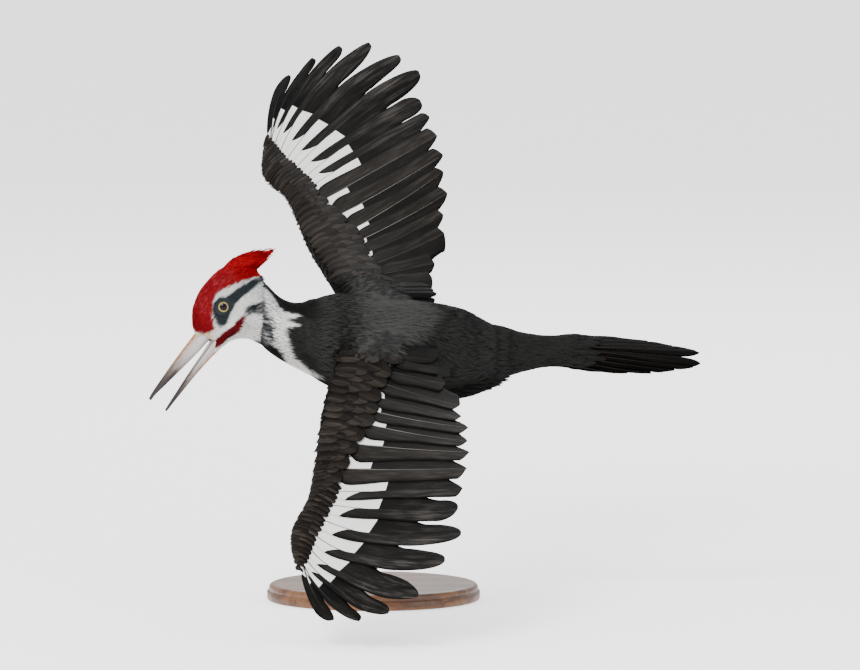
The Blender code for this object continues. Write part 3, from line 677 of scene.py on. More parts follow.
def skin_material():
    """Bare skin under the feathers: the same markings, darkened as painted shade under the coat, and
    grained.
    """
    paint = Paint("skin", Roughness=0.8, Specular_IOR_Level=0.03)
    grain = paint.noise(paint.object_place(), 900.0, 3.0)
    # painted shade: a darker copy of the markings, so that gaps in the coat read as shadow
    paint.set("Base Color", paint.scaled(paint.attribute("plumage", "Color"), 0.45 + grain * 0.35))
    paint.bump(grain, 0.0005, 0.6)
    return paint.material


def vane_material(name, shine):
    """Flight feathers and coverts: barbs slanting from the shaft, crisp white patches, painted shade at the
    vanes' edges and on the inner vane, painted sheen and highlights.
    """
    paint = Paint(name, Roughness=0.5, Specular_IOR_Level=shine)
    colour = paint.attribute("plumage", "Color")
    white_colour = paint.attribute("white_tone", "Color")
    across, along = paint.attribute("across"), paint.attribute("along")
    barb = paint.attribute("barb", "Vector")
    fine = paint.noise(paint.vector("MULTIPLY", barb, (1.0, 0.12, 1.0)), 2.6, 2.0, 0.6)
    cloud = paint.noise(paint.vector("MULTIPLY", barb, (0.05, 0.35, 1.0)), 1.0, 3.0, 0.6)
    # painted shade: darker towards each vane's edges, where the neighbouring feathers overlap and shadow it
    edge = paint.step(paint.math("ABSOLUTE", across), 0.68, 1.0)
    # painted shade: the inner vane is darker because it lies in the shade of its neighbour
    inner = paint.step(across, 0.02, -0.1)
    # painted sheen: lighter streaks along the barbs, weaker on the inner vane
    sheen = paint.step(cloud, 0.4, 0.75) * (1 - inner * 0.5)
    tint = (0.55 + fine * 0.55 + sheen * 1.0) * (1 - edge * 0.78) * (1 - inner * 0.5)
    # painted highlight towards the tip, scaled by each feather's share of painted sheen
    painted_highlight = sheen * paint.attribute("gloss") * paint.step(along, 0.35, 0.85) * (1 - edge) * fine
    dark = paint.mix(painted_highlight * 0.34, paint.scaled(colour, tint), tone("8f8680"))
    border = paint.attribute("white") + (fine - 0.5) * 0.9
    white = paint.step(border, -0.2, 0.2)
    # the white patches also take a little painted shade at their edges
    pale = paint.scaled(white_colour, 0.92 + fine * 0.14 - edge * 0.08)
    paint.set("Base Color", paint.mix(white, dark, pale))
    paint.set("Roughness", 0.42 + fine * 0.2 + along * 0.06)
    paint.bump(fine, 0.00022, 0.55)
    return paint.material


def bill_material(colours):
    """Horn with fine streaks along it, warm on the ridge and dark at edge and tip."""
    paint = Paint("bill_horn", Roughness=0.4, Specular_IOR_Level=0.25)
    place = paint.attribute("place", "Vector")
    along, height = paint.attribute("along"), paint.attribute("height")
    streaks = paint.noise(paint.vector("MULTIPLY", place, (0.09, 1.6, 1.6)), 1.0, 4.0, 0.6)
    blotch = paint.noise(place, 0.35, 3.0)
    warm = paint.step(height + (blotch - 0.5) * 0.8, 0.35, 0.9)
    base = paint.mix(warm, tuple(colours.bill), tone("9a6430"))
    body = paint.mix(paint.step(along + (streaks - 0.5) * 0.5, 0.2, 0.7), base, tone("54493f"))
    edge = paint.attribute("edge")
    tip = paint.mix(paint.step(along + edge * 0.25 + (streaks - 0.5) * 0.4, 0.5, 0.85), body,
                    tuple(colours.bill_tip))
    dark = paint.mix(paint.step(edge + (streaks - 0.5) * 0.3, 0.55, 1.0) * 0.75, tip, tone("231d1c"))
    paint.set("Base Color", paint.scaled(dark, 0.6 + streaks * 0.75))
    paint.set("Roughness", 0.3 + streaks * 0.25)
    paint.bump(streaks, 0.0003, 0.5)
    return paint.material


PUPIL_EDGE = (2.72, 2.88)      # millimetres from the eye's axis between which a colour gives way
IRIS_SHADE = (3.5, 3.95)
IRIS_EDGE = (3.85, 4.0)


def eye_material(colours):
    """Dark pupil in a rayed yellowish iris under a clear coat."""
    paint = Paint("eye_gloss", Roughness=0.12, Specular_IOR_Level=0.12, Coat_Weight=0.15,
                  Coat_Roughness=0.02)
    out = paint.attribute("from_axis")
    angle = paint.attribute("round_axis")
    rays = paint.noise(paint.combine(angle * 9.0, out * 0.7, 0.0), 3.0, 3.0)
    iris = paint.mix(rays, tone("75663a"), tuple(colours.iris))
    iris = paint.mix(paint.step(out, *IRIS_SHADE), iris, tone("5e5029"))
    colour = paint.mix(paint.step(out, *PUPIL_EDGE), tone("020309"), iris)
    colour = paint.mix(paint.step(out, *IRIS_EDGE), colour, tone("15181a"))
    paint.set("Base Color", colour)
    paint.set("Roughness", 0.1 + rays * 0.1)
    return paint.material


def lid_material():
    """Dark pebbled skin round the eye."""
    paint = Paint("orbital_skin", Roughness=0.55, Specular_IOR_Level=0.1)
    cells = paint.cells(paint.object_place(), 1600.0)
    paint.set("Base Color", paint.mix(cells, tone("14181b"), tone("252c30")))
    paint.set("Roughness", 0.45 + cells * 0.3)
    paint.bump(cells, 0.0003, 0.7)
    return paint.material


def scale_material(colours):
    """Grey scales of the feet."""
    paint = Paint("leg_scales", Roughness=0.5, Specular_IOR_Level=0.4)
    place = paint.object_place()
    cells = paint.cells(place, 620.0)
    grain = paint.noise(place, 1800.0, 3.0)
    paint.set("Base Color", paint.mix(cells + (grain - 0.5) * 0.4, tuple(colours.leg), tone("22262a")))
    paint.set("Roughness", 0.4 + grain * 0.3)
    paint.bump(1 - cells, 0.0006, 0.8)
    return paint.material


def claw_material():
    """Streaked horn that darkens to the tip."""
    paint = Paint("claw_horn", Roughness=0.3, Specular_IOR_Level=0.5)
    along = paint.attribute("along")
    streaks = paint.noise(paint.vector("MULTIPLY", paint.object_place(), (300.0, 900.0, 900.0)), 1.0, 3.0)
    horn = paint.mix(along, tone("4d4a47"), tone("1d1b1b"))
    paint.set("Base Color", paint.scaled(horn, 0.8 + streaks * 0.4))
    paint.set("Roughness", 0.25 + streaks * 0.25)
    paint.bump(streaks, 0.00015, 0.5)
    return paint.material


def mouth_material():
    """Moist lining of the gape, kept dark as painted shade in the mouth's corner."""
    paint = Paint("mouth_lining", Roughness=0.35, Specular_IOR_Level=0.5, Subsurface_Weight=0.1)
    grain = paint.noise(paint.object_place(), 1200.0, 3.0)
    # painted shade: the lining's colours are dark, as in the shaded corner of the mouth
    paint.set("Base Color", paint.mix(grain, tone("2c2324"), tone("51403f")))
    paint.set("Roughness", 0.3 + grain * 0.3)
    paint.bump(grain, 0.0003, 0.5)
    return paint.material


def wood_material(colours):
    """Dark turned wood: long growth rings with pores, under a satin lacquer."""
    paint = Paint("stand_wood", Roughness=0.4, Specular_IOR_Level=0.3, Coat_Weight=0.08, Coat_Roughness=0.25)
    place = paint.vector("MULTIPLY", paint.object_place(), (9.0, 95.0, 95.0))
    bend = paint.noise(place, 0.9, 3.0)
    rings = paint.math("SINE", paint.noise(place, 0.55, 4.0, 0.55) * 26.0 + bend * 3.0) * 0.5 + 0.5
    pores = paint.noise(paint.vector("MULTIPLY", paint.object_place(), (60.0, 900.0, 900.0)), 1.6, 3.0)
    light = paint.mix(rings, tuple(colours.wood), tone("6e4a31"))
    paint.set("Base Color", paint.mix(paint.step(pores, 0.55, 0.75) * 0.6, light, tone("24150c")))
    paint.set("Roughness", 0.28 + pores * 0.25)
    paint.bump(pores, 0.0002, 0.4)
    return paint.material


def steel_material():
    """Brushed steel."""
    paint = Paint("stand_steel", Roughness=0.28, Metallic=1.0)
    place = paint.vector("MULTIPLY", paint.object_place(), (40.0, 40.0, 2600.0))
    lines = paint.noise(place, 1.0, 2.0)
    paint.set("Base Color", paint.mix(lines, tone("a9adb0"), tone("cfd2d4")))
    paint.set("Roughness", 0.2 + lines * 0.2)
    paint.bump(lines, 0.00004, 0.4)
    return paint.material


def floor_material():
    """Matt pale floor."""
    paint = Paint("studio_floor", Roughness=0.85, Specular_IOR_Level=0.1, Emission_Strength=1.1,
                  Emission_Color=(1.0, 1.0, 1.0, 1.0))
    grain = paint.noise(paint.object_place(), 3.0, 3.0)
    paint.set("Base Color", paint.mix(grain, tone("f1f1f1"), tone("f4f4f4")))
    return paint.material


def made(name, maker, *inputs):
    """The named material, made the first time that it is asked for."""
    return bpy.data.materials.get("fine_" + name) or maker(*inputs)


def wing_vanes():
    return made("vanes", vane_material, "vanes", 0.03)


def tail_vanes():
    return made("tail_vanes", vane_material, "tail_vanes", 0.008)


# ---------------------------------------------------------------- wing surface
def leading_edge(span):
    """x and z of the wing's leading edge."""
    return hermite(LEADING_EDGE, span)


def covert_x(span):
    """x of the coverts' rear edge."""
    return hermite(COVERT_EDGE, span)[..., 0]


def wing_point(x, span, lift=0.0):
    """Points of the left wing's middle surface above plan positions."""
    x, span, lift = np.broadcast_arrays(*(np.asarray(v, float) for v in (x, span, lift)))
    lead = leading_edge(span)
    aft = lead[..., 0] - x
    twist = WING_WASHOUT * ramp(span, *WASHOUT_SPAN)
    arch = CAMBER * np.sin(np.pi * np.clip(aft / CAMBER_CHORD, 0, 1))
    return np.stack([x, span, lead[..., 1] + twist * aft + arch + lift], axis=-1)


def chord_share(x, span):
    """How far back a plan position is: 0 at the leading edge, 1 at the coverts' edge."""
    lead = leading_edge(span)[..., 0]
    return (lead - x) / (lead - covert_x(span))


def swell(share, span):
    """Half thickness of arm and coverts."""
    thick = hermite(ARM_THICKNESS, span)[..., 0]
    share = np.clip(share, 0.0, 1.0)
    body = np.sqrt(share) * (1 - share) * 2.6
    return 0.5 * (thick * np.minimum(body, 1.0) + 1.3 * share)


def remex_base_span(i):
    """Span at which feather i leaves the coverts, by which its tip is placed."""
    if i < PRIMARY_COUNT:
        inward = (PRIMARY_COUNT - 1 - i) / (PRIMARY_COUNT - 1)
        low, high = PRIMARY_BASE
        return low + (high - low) * math.sin(math.pi / 2 * inward ** PRIMARY_BASE_CURVE)
    low, high = SECONDARY_BASE
    return high - (high - low) * (i - PRIMARY_COUNT) / (len(REMEX_REACH) - PRIMARY_COUNT - 1)


def remex_plan(i, t):
    """Plan positions at shares t along feather i's shaft; negative shares lie under the coverts."""
    t = np.asarray(t, float)[..., None]
    span = remex_base_span(i)
    angle = math.radians(REMEX_FAN_DEG[i])
    root = np.array((covert_x(span)[0], span))
    tip = root + np.array((-math.cos(angle), math.sin(angle))) * REMEX_REACH[i]
    across = np.array((math.sin(angle), math.cos(angle)))
    start = np.array((covert_x(SHAFT_ROOTS[i])[0] - FEATHER_GAP, SHAFT_ROOTS[i]))
    return start + (tip - start) * t + across * REMEX_BOW[i] * 4 * t * (1 - t)


def shaft_angle(i):
    """Degrees that feather i points out from straight aft."""
    (x0, y0), (x1, y1) = remex_plan(i, (0.0, 1.0))
    return math.degrees(math.atan2(y1 - y0, x0 - x1))


FAN_KEYS = tuple((SHAFT_ROOTS[i], shaft_angle(i)) for i in range(len(REMEX_REACH))) + ((12.0, 4.0),)


def fan_angle(span):
    """Angle of the wing's feathers out from straight aft."""
    return np.radians(hermite(FAN_KEYS, span)[..., 0])


# ---------------------------------------------------------------- skin
SKIN_SEGMENTS = 96
SKIN_SMOOTHING = 7
TRUNK_SQUARENESS = 2.1
CREST_SQUARENESS = 1.8
CREST_END_X = -49.5            # the skin ends here; the crest's feathers reach beyond it
ARM_REACH = 0.82               # how far back on the chord the skin of the arm goes
THIGH_SEGMENTS = 32
THIGH_TAPER = 2.1              # how much longer a thigh is behind its middle than ahead of it
THIGH_RISE = 8.0
NEAR, FAR = 12, 99.0           # distances beyond the first are all taken to be the second
BLEND_LENGTH = 1.6             # distance over which one part's feathers give way to the next one's
DEPTH = {"trunk": 2.6, "neck": 2.4, "head": 0.9, "crest": 1.5, "rump": 1.8, "wing": 1.1, "thigh": 1.8}


def trunk_rings(stations, xs, depth):
    """Sections of trunk or rump, inside their outline by the coat's depth."""
    rings = []
    for x in xs:
        half_width, half_depth, z = hermite(stations, x)[0]
        side, up = (0, half_width - depth, 0), (0, 0, max(half_depth - depth, 1.7))
        rings.append(superellipse((x, 0, z), side, up, SKIN_SEGMENTS, TRUNK_SQUARENESS))
    return rings


def head_ring(station, depth, squareness=2.15):
    """One section of the head, from its top and bottom point."""
    top_x, top_z, bottom_x, bottom_z, half_width = station
    top, bottom = np.array((top_x, 0, top_z)), np.array((bottom_x, 0, bottom_z))
    up = (top - bottom) / 2
    up = up * (1 - depth / np.linalg.norm(up))
    side = (0, max(half_width - depth, 0.5), 0)
    return from_head(superellipse((top + bottom) / 2, side, up, SKIN_SEGMENTS, squareness))


HEAD_PARTS = ((HEAD_STATIONS, 0.85, 2.15), (UPPER_JAW, 0, 3.0), (LOWER_JAW, 0, 2.6))


def head_rings(depth):
    """The head behind the gape, and the feathered roots of the two mandibles ahead of it."""
    parts = []
    for stations, start, squareness in HEAD_PARTS:
        keys = [(float(k), *station) for k, station in enumerate(stations)]
        wanted = hermite(keys, np.linspace(start, len(keys) - 1, 40))
        parts.append([head_ring(station, depth, squareness) for station in wanted])
    return parts


def neck_rings(depth):
    """Sections along a bend from the back of the head to the front of the trunk."""
    first = head_ring(HEAD_STATIONS[-1], depth)
    middle = head_ring(NECK_MIDDLE, depth)
    end = trunk_rings(TRUNK_STATIONS, [TRUNK_STATIONS[0][0]], depth)[0]
    end = np.roll(end, -round(SKIN_SEGMENTS * HEAD_ROLL_DEG / 360), axis=0)
    rings = []
    for t in np.linspace(-0.06, 1.06, 24):
        rings.append(first * (1 - t) ** 2 + middle * 2 * t * (1 - t) + end * t**2)
    return rings


def crest_rings(depth):
    """Sections of the crest's fleshy root."""
    rings = []
    for x in np.linspace(CREST_STATIONS[0][0], CREST_END_X, 22):
        top, bottom, half = hermite(CREST_STATIONS, x)[0]
        rings.append(head_ring((x, top, x, bottom, half), depth, CREST_SQUARENESS))
    return rings


def arm_rings(depth):
    """Sections of arm and hand, cut off ahead of the coverts' rear edge."""
    shares = (1 - np.cos(np.pi * np.arange(15) / 14)) / 2 * ARM_REACH
    rings = []
    for span in np.linspace(12, HAND_END_SPAN - 10, 70):
        lead, rear = leading_edge(span)[0, 0] - depth, covert_x(span)[0]
        x = lead + (rear - lead) * shares
        half = np.maximum(swell(shares, span) - depth, 1.2)
        half[0] = 0.0
        upper, lower = wing_point(x, span, half), wing_point(x, span, -half)
        rings.append(np.concatenate([upper, lower[:0:-1]]))
    return rings


def thigh_drop(centre, semi):
    """Thigh that tapers back along the belly."""
    rings = []
    for angle in np.linspace(0.06, np.pi - 0.06, 25):
        c, s = np.cos(angle), np.sin(angle)
        if c < 0:
            s = s ** 1.5
        stretch = 1 if c > 0 else THIGH_TAPER
        middle = np.array(centre) + (semi[0] * c * stretch, 0, THIGH_RISE * max(-c, 0))
        rings.append(superellipse(middle, (0, semi[1] * s, 0), (0, 0, semi[2] * s), THIGH_SEGMENTS))
    return loft(rings)


def flesh_shapes():
    """Every fleshy part, each inside its solid by the depth of its coat."""
    shapes = {
        "trunk": loft(trunk_rings(TRUNK_STATIONS, np.linspace(74, -70, 50), DEPTH["trunk"])),
        "rump": loft(trunk_rings(RUMP_STATIONS, np.linspace(-62, -136, 30), DEPTH["rump"])),
        "head": Shape.joined([loft(rings) for rings in head_rings(DEPTH["head"])]),
        "neck": loft(neck_rings(DEPTH["neck"])),
        "crest": loft(crest_rings(DEPTH["crest"])),
    }
    for side, label in SIDES:
        shapes[f"wing_{label}"] = loft(arm_rings(DEPTH["wing"])).mirrored(side)
        semi = np.array(THIGH_SEMI) - DEPTH["thigh"]
        shapes[f"thigh_{label}"] = thigh_drop(THIGH_AT, semi).mirrored(side)
    return shapes


def region_weights(points, shapes):
    """How much each part owns each point, from the distances to the parts' surfaces."""
    columns = []
    for shape in shapes.values():
        tree = BVHTree.FromPolygons(shape.points.tolist(), shape.polygons())
        low, high = shape.points.min(axis=0) - NEAR, shape.points.max(axis=0) + NEAR
        near = ((points > low) & (points < high)).all(axis=1)
        distance = np.full(len(points), FAR)
        distance[near] = [tree.find_nearest(p)[3] for p in points[near].tolist()]
        columns.append(distance)
    weights = np.exp(-np.array(columns).T / BLEND_LENGTH)
    return weights / weights.sum(axis=1, keepdims=True)


REARWARD = np.array((-1.0, 0, 0))
DOWNWARD = np.array((0, 0, -1.0))


def over_nostrils(head):
    """1 where the bristles over the nostrils root, 0 elsewhere."""
    return ramp(inside(head[:, [0, 2]], BRISTLE_BASE), -0.4, 0.4)[:, None]


def lie_of_coat(points, head, weights, names):
    """Direction in which the feathers lie at each point."""
    (x, y, z), (hx, _, hz) = points.T, head.T
    bristles = over_nostrils(head)
    below = ramp(hz, -8, -30)[:, None]
    on_head = REARWARD * (1 - 0.5 * below) + DOWNWARD * below
    on_crest = unit(np.array((-68.0, 0, -4.8)) - head)
    crown = ramp(hz, 4, 10)[:, None] * ramp(hx, 0, -14)[:, None]
    on_head = on_head * (1 - crown) + on_crest * crown
    on_head = on_head * (1 - bristles) + np.array((1.0, 0, -0.1)) * bristles
    near_head = ramp(x, 78, 112)[:, None]
    along_throat = unit(np.array((-0.5, 0, -0.85)) @ HEAD_TURN.T)
    on_neck = along_throat * near_head + REARWARD * (1 - near_head)
    span = np.abs(y)
    fan = fan_angle(span)
    on_wing = np.stack([-np.cos(fan), np.sin(fan) * np.sign(y), 0 * fan], axis=1)
    run = (leading_edge(span + 1) - leading_edge(span - 1)) / 2
    along_edge = np.stack([run[:, 0], np.sign(y), run[:, 1]], axis=1)
    at_edge = (0.85 * ramp(chord_share(x, span), 0.22, 0.04) * ramp(span, 30, 60))[:, None]
    on_wing = on_wing * (1 - at_edge) + unit(along_edge) * at_edge
    spread = ramp(span, 8, 34) * ramp(z, -8, 6)
    spread = spread * ramp(x, 52, 22) * ramp(x, -46, -18)
    outward = np.stack([1 + 0 * span, np.sign(y), 1 + 0 * span], axis=1)
    lies = {
        "trunk": REARWARD + spread[:, None] * np.array((0.25, 1.0, -0.4)) * outward,
        "rump": REARWARD + 0 * points,
        "neck": on_neck, "head": on_head @ HEAD_TURN.T, "crest": on_crest @ HEAD_TURN.T,
        "wing": on_wing, "thigh": np.array((-1.0, 0, -0.15)) + 0 * points,
    }
    total = sum(weights[:, [k]] * lies[name.split("_")[0]] for k, name in enumerate(names))
    return unit(total)


CAPE_RIM_X = -31.5             # where the grey of the upper back ends at the spine
CAPE_RIM_CURVE = 0.0255        # how fast this rim comes forward out to the given span
CAPE_RIM_SPAN = 32
WHITE_LINING_SPANS = ((42, 52), (262, 256))    # between which the white fades in and out again


def plumage_of(points, head, weights, names, colours):
    """Colour of skin and coat at each point: one set of markings for both."""
    (x, y, z), (hx, hy, hz) = points.T, head.T
    profile = head[:, [0, 2]] + np.stack([wobble(points, 2.2, 1), wobble(points, 2.2, 2)], axis=1) * 0.55
    share = {name: weights[:, k] for k, name in enumerate(names)}
    on_wing = share["wing_left"] + share["wing_right"]
    span = np.abs(y)
    colour = np.zeros((len(points), 3)) + np.array(colours.black)

    def cover(mask, over):
        nonlocal colour
        colour = colour + (np.asarray(over) - colour) * np.clip(mask, 0, 1)[:, None]

    def within(outline, soft=0.35):
        return ramp(inside(profile, outline), -soft, soft)

    mottle = wobble(points, 9.0, 3)
    upper = ramp(z - 0.12 * span, -22, -4)
    rim = CAPE_RIM_X + CAPE_RIM_CURVE * np.minimum(span, CAPE_RIM_SPAN) ** 2
    ahead_of_rim = x - rim + 1.2 * mottle
    cape = ramp(ahead_of_rim, -1.5, 1.5) * upper
    cover(upper * ramp(x, 84, 62) * 0.9, np.array(colours.back) * 0.8)
    cover(cape * (0.3 + 0.7 * ramp(x, 56, 26)) * ramp(z, -20, 6), colours.mantle)
    # painted shade: black just inside the rear rim of the grey upper back, where its feathers overlap the
    # rump
    cover(cape * ramp(ahead_of_rim, 17, 2) * 0.85 * (1 - on_wing), colours.black)
    cover(share["rump"] * upper, np.array(colours.back) * 0.55)
    cover(within(SHOULDER_BLACK, 2.0) * ramp(hx, -60, -42) * (1 - on_wing) * 0.75, colours.black)

    on_neck = share["neck"] + share["head"] + share["crest"] + share["trunk"] * ramp(x, 40, 48)
    on_neck = np.clip(on_neck, 0, 1) * (1 - on_wing)
    back_of_neck = ramp(np.abs(hy), 9.5, 7.5) * ramp(hx + hz * 0.1, -14, -20)
    white = within(NECK_WHITE, 0.8) * on_neck
    cover(white, colours.white)
    streak = wobble(points * (1, 2.4, 2.4), 3.2, 5)
    grey_side = ramp(hx, -16, -26) * ramp(hz, -38, -28) * white
    cover(grey_side * (0.45 + 0.4 * streak), colours.neck_grey)
    cover(white * ramp(hx, -13, 0) * ramp(hz, -17, -21) * 0.8, colours.throat)
    cover(within(FORE_NECK, 1.0) * on_neck, colours.black)
    stripe = within(NECK_STRIPE, 0.9) * on_neck
    slate_part = ramp(hx - 0.5 * hz, -10, -2) * (1 - 0.5 * ramp(hz, -22, -34))
    cover(within(NECK_STRIPE, 3.5) * on_neck * np.clip(0.45 + 0.6 * streak, 0, 1), colours.neck_grey)
    cover(stripe * np.clip(0.85 + 0.8 * streak, 0, 1), colours.black)
    cover(stripe * slate_part * 0.8, colours.slate)
    back_of_neck = back_of_neck * ramp(x, 60, 80)
    cover(back_of_neck * on_neck * (1 - within(CROWN_RED, 0.5)), colours.black)
    face = np.clip(share["head"] + share["crest"] + share["neck"], 0, 1)
    cover(within(EYE_MASK, 0.5) * face, colours.slate)
    cover(within(EYE_MASK, 2.0) * face * np.clip(0.4 * streak, 0, 1), colours.black)
    cover(within(MALAR_RED, 0.3) * face, colours.malar)
    lower_malar = ramp(hz, -14.5, -18.5) * ramp(hx, 2, 14) + 0.4 * streak
    cover(within(MALAR_RED, 0.3) * face * np.clip(lower_malar, 0, 1) * 0.55, colours.black)
    crown = within(CROWN_RED, 0.3) * face
    cover(crown, colours.crown)
    # painted highlight: pale streaks along the crown, between forehead and crest
    light = ramp(wobble(points * (1, 3.0, 3.0), 2.6, 8), 0.15, 0.9)
    light = light * ramp(hx, 20, 8) * ramp(hx, -34, -14)
    cover(crown * light * 0.55, colours.crown_highlight)
    cover(crown * ramp(hx, 10, 24) * 0.45, np.array(colours.crown) * 0.45)
    cover(crown * ramp(hx, -10, -38), colours.crest)
    cover(within(BRISTLE_BASE, 1.6) * face * 0.9, colours.bristle)

    wing_share = chord_share(x, span)
    above = ramp(z - wing_point(x, span)[:, 2], -0.6, 0.6)
    uneven = 1 + 0.85 * wobble(points * (1.3, 1, 0), 5.5, 9)
    cover(on_wing * above * ramp(span + 3 * mottle, 40, 54), np.array(colours.covert) * uneven[:, None])
    cover(on_wing * above * ramp(wing_share, 0.2, 0.05), colours.black)
    inner, outer = (ramp(span, *spans) for spans in WHITE_LINING_SPANS)
    cover(on_wing * (1 - above) * inner * outer * ramp(wing_share, 0.1, 0.2), colours.white)
    return colour


FLAT_ANGLE = math.radians(50)  # a sharper edge than this keeps a covert's face flat
SHOWN_SHARE = 0.45             # how far along a feather the middle of its bare part is
FEATHER_SIZES = {              # width, length and lift in degrees
    "trunk": (3.3, 12.0, 2.8), "rump": (3.6, 13.5, 2.4), "neck": (2.0, 6.5, 4.5), "head": (1.3, 4.2, 7.0),
    "crest": (2.2, 14.5, 1.5), "wing": (8.5, 9.5, 1.5), "thigh": (3.0, 9.0, 4.0),
}


def feather_sizes(points, head, weights, names):
    """Width, length and lift of the feathers rooted at each point, smallest on the face."""
    own = [np.array(FEATHER_SIZES[name.split("_")[0]]) for name in names]
    sizes = sum(weights[:, [k]] * size for k, size in enumerate(own))
    on_head = weights[:, [names.index("head")]]
    eye = np.stack([np.hypot(head[:, 0], head[:, 2])], axis=1)
    face = np.clip(ramp(head[:, :1], 4, 26) + ramp(eye, 14, 7), 0, 1) * on_head
    sizes = sizes * (1 - face * np.array((0.45, 0.5, 0.0)))
    crest_end = weights[:, [names.index("crest")]] * ramp(head[:, :1], -30, -46)
    sizes = sizes * (1 - crest_end * np.array((0.2, 0.3, 0.6)))
    on_wing = weights[:, [names.index("wing_left")]] + weights[:, [names.index("wing_right")]]
    at_edge = ramp(chord_share(points[:, 0], np.abs(points[:, 1])), 0.3, 0.08)[:, None]
    sizes = sizes * (1 - on_wing * at_edge * np.array((0.5, 0.5, 0.6)))
    at_root = on_wing * ramp(np.abs(points[:, 1:2]), 56, 46)
    sizes = sizes * (1 + at_root * np.array((0.1, 0.6, 0.5)))
    bristles = over_nostrils(head) * on_head
    return sizes * (1 - bristles) + np.array((0.7, 3.6, 4.0)) * bristles


BARE_EYE_RADIUS = 5.6
UPPER_SEAT_X = 29.2            # where the feathers end at the upper and the lower mandible
LOWER_SEAT_X = 33.2
GAPE_Z = -8.3
STEEPEST = 0.72                # how far the skin may face along the coat and still carry feathers


def cover_of_coat(head, slope, on_wing):
    """Where feathers may root: not over the eyes, the bill's seat or ends that face along the coat."""
    hx, hy, hz = head.T
    eye = (np.hypot(hx, hz) < BARE_EYE_RADIUS) & (np.abs(hy) > 6)
    seat = hx + FACE_LEAN * (FACE_TOP_Z - hz) > np.where(hz < -10, LOWER_SEAT_X, UPPER_SEAT_X)
    gape = (hx > 24.8) & (np.abs(hz - GAPE_Z) < 2.0)
    blunt = on_wing & (np.abs(slope) > STEEPEST)
    end = (slope > np.where(hx < -34, 0.5, STEEPEST)) | (slope < -0.93)
    return np.where(eye | seat | gape | blunt | end, 0.0, 1.0)


def opaque(colour):
    """Colours with a fourth value of 1."""
    return np.concatenate([colour, np.ones((len(colour), 1))], axis=1)


# ---------------------------------------------------------------- small feathers
def blade(width, keys, length=1.0, yaw=0.0, start=0.0, rise=0.0, keel=0.16, curl=0.06):
    """Closed pointed leaf along +Y; keys are (share of its length, share of its width)."""
    points, along, across = [], [], []
    for t, w in keys:
        half = width * w / 2
        y, z = start + length * t, rise - curl * t * t
        points += [(-half, y, z), (0, y, z + keel * width * max(w, 0.3)), (half, y, z)]
        along += [t] * 3
        across += [-w, 0, w]
    points.append((0, start + length, rise - curl))
    along.append(1.0)
    across.append(0.0)
    tip = len(points) - 1
    faces = [(0, 2, 1, -1)]
    for k in range(0, tip - 3, 3):
        n = k + 3
        faces += [(k, k + 1, n + 1, n), (k + 1, k + 2, n + 2, n + 1), (k + 2, k, n, n + 2)]
    k = tip - 3
    faces += [(k, k + 1, tip, -1), (k + 1, k + 2, tip, -1), (k + 2, k, tip, -1)]
    c, s = math.cos(math.radians(yaw)), math.sin(math.radians(yaw))
    points = [(x * c - y * s, x * s + y * c, z) for x, y, z in points]
    return Shape(points, faces, along=along, across=across)


LEAF = ((0.0, 0.3), (0.3, 0.9), (0.62, 1.0), (0.86, 0.68))
SLIM = ((0.0, 0.5), (0.5, 1.0))
LONG = ((0.0, 0.35), (0.35, 1.0), (0.75, 0.8))


def vane_templates():
    """Unit feathers: each is rooted at the origin, lies along +Y and is 1 long and about 1 wide."""
    shapes = {
        "fine": [blade(0.42, SLIM, 0.9, 9), blade(0.38, SLIM, 1.0, -7, 0.02, 0.03)],
        "soft": [blade(0.66, LEAF, 0.94, keel=0.07), blade(0.18, SLIM, 1.0, 9, 0.05, 0.03),
                 blade(0.18, SLIM, 1.04, -2, 0.04, 0.045), blade(0.18, SLIM, 0.97, -12, 0.06, 0.03)],
        "contour": [blade(0.95, LEAF, keel=0.1), blade(0.18, SLIM, 0.9, 7, 0.1, 0.06),
                    blade(0.18, SLIM, 0.92, -8, 0.1, 0.06)],
        "scale": [blade(1.0, LEAF, keel=0.02, curl=0.03)],
        "lock": [blade(0.3, LONG, 1.0, 4), blade(0.24, LONG, 0.93, -5, 0.04, 0.03),
                 blade(0.2, SLIM, 1.06, 0, 0.02, 0.05)],
    }

    return {name: Shape.joined(blades).build("vane_" + name, None, np.asarray)
            for name, blades in shapes.items()}


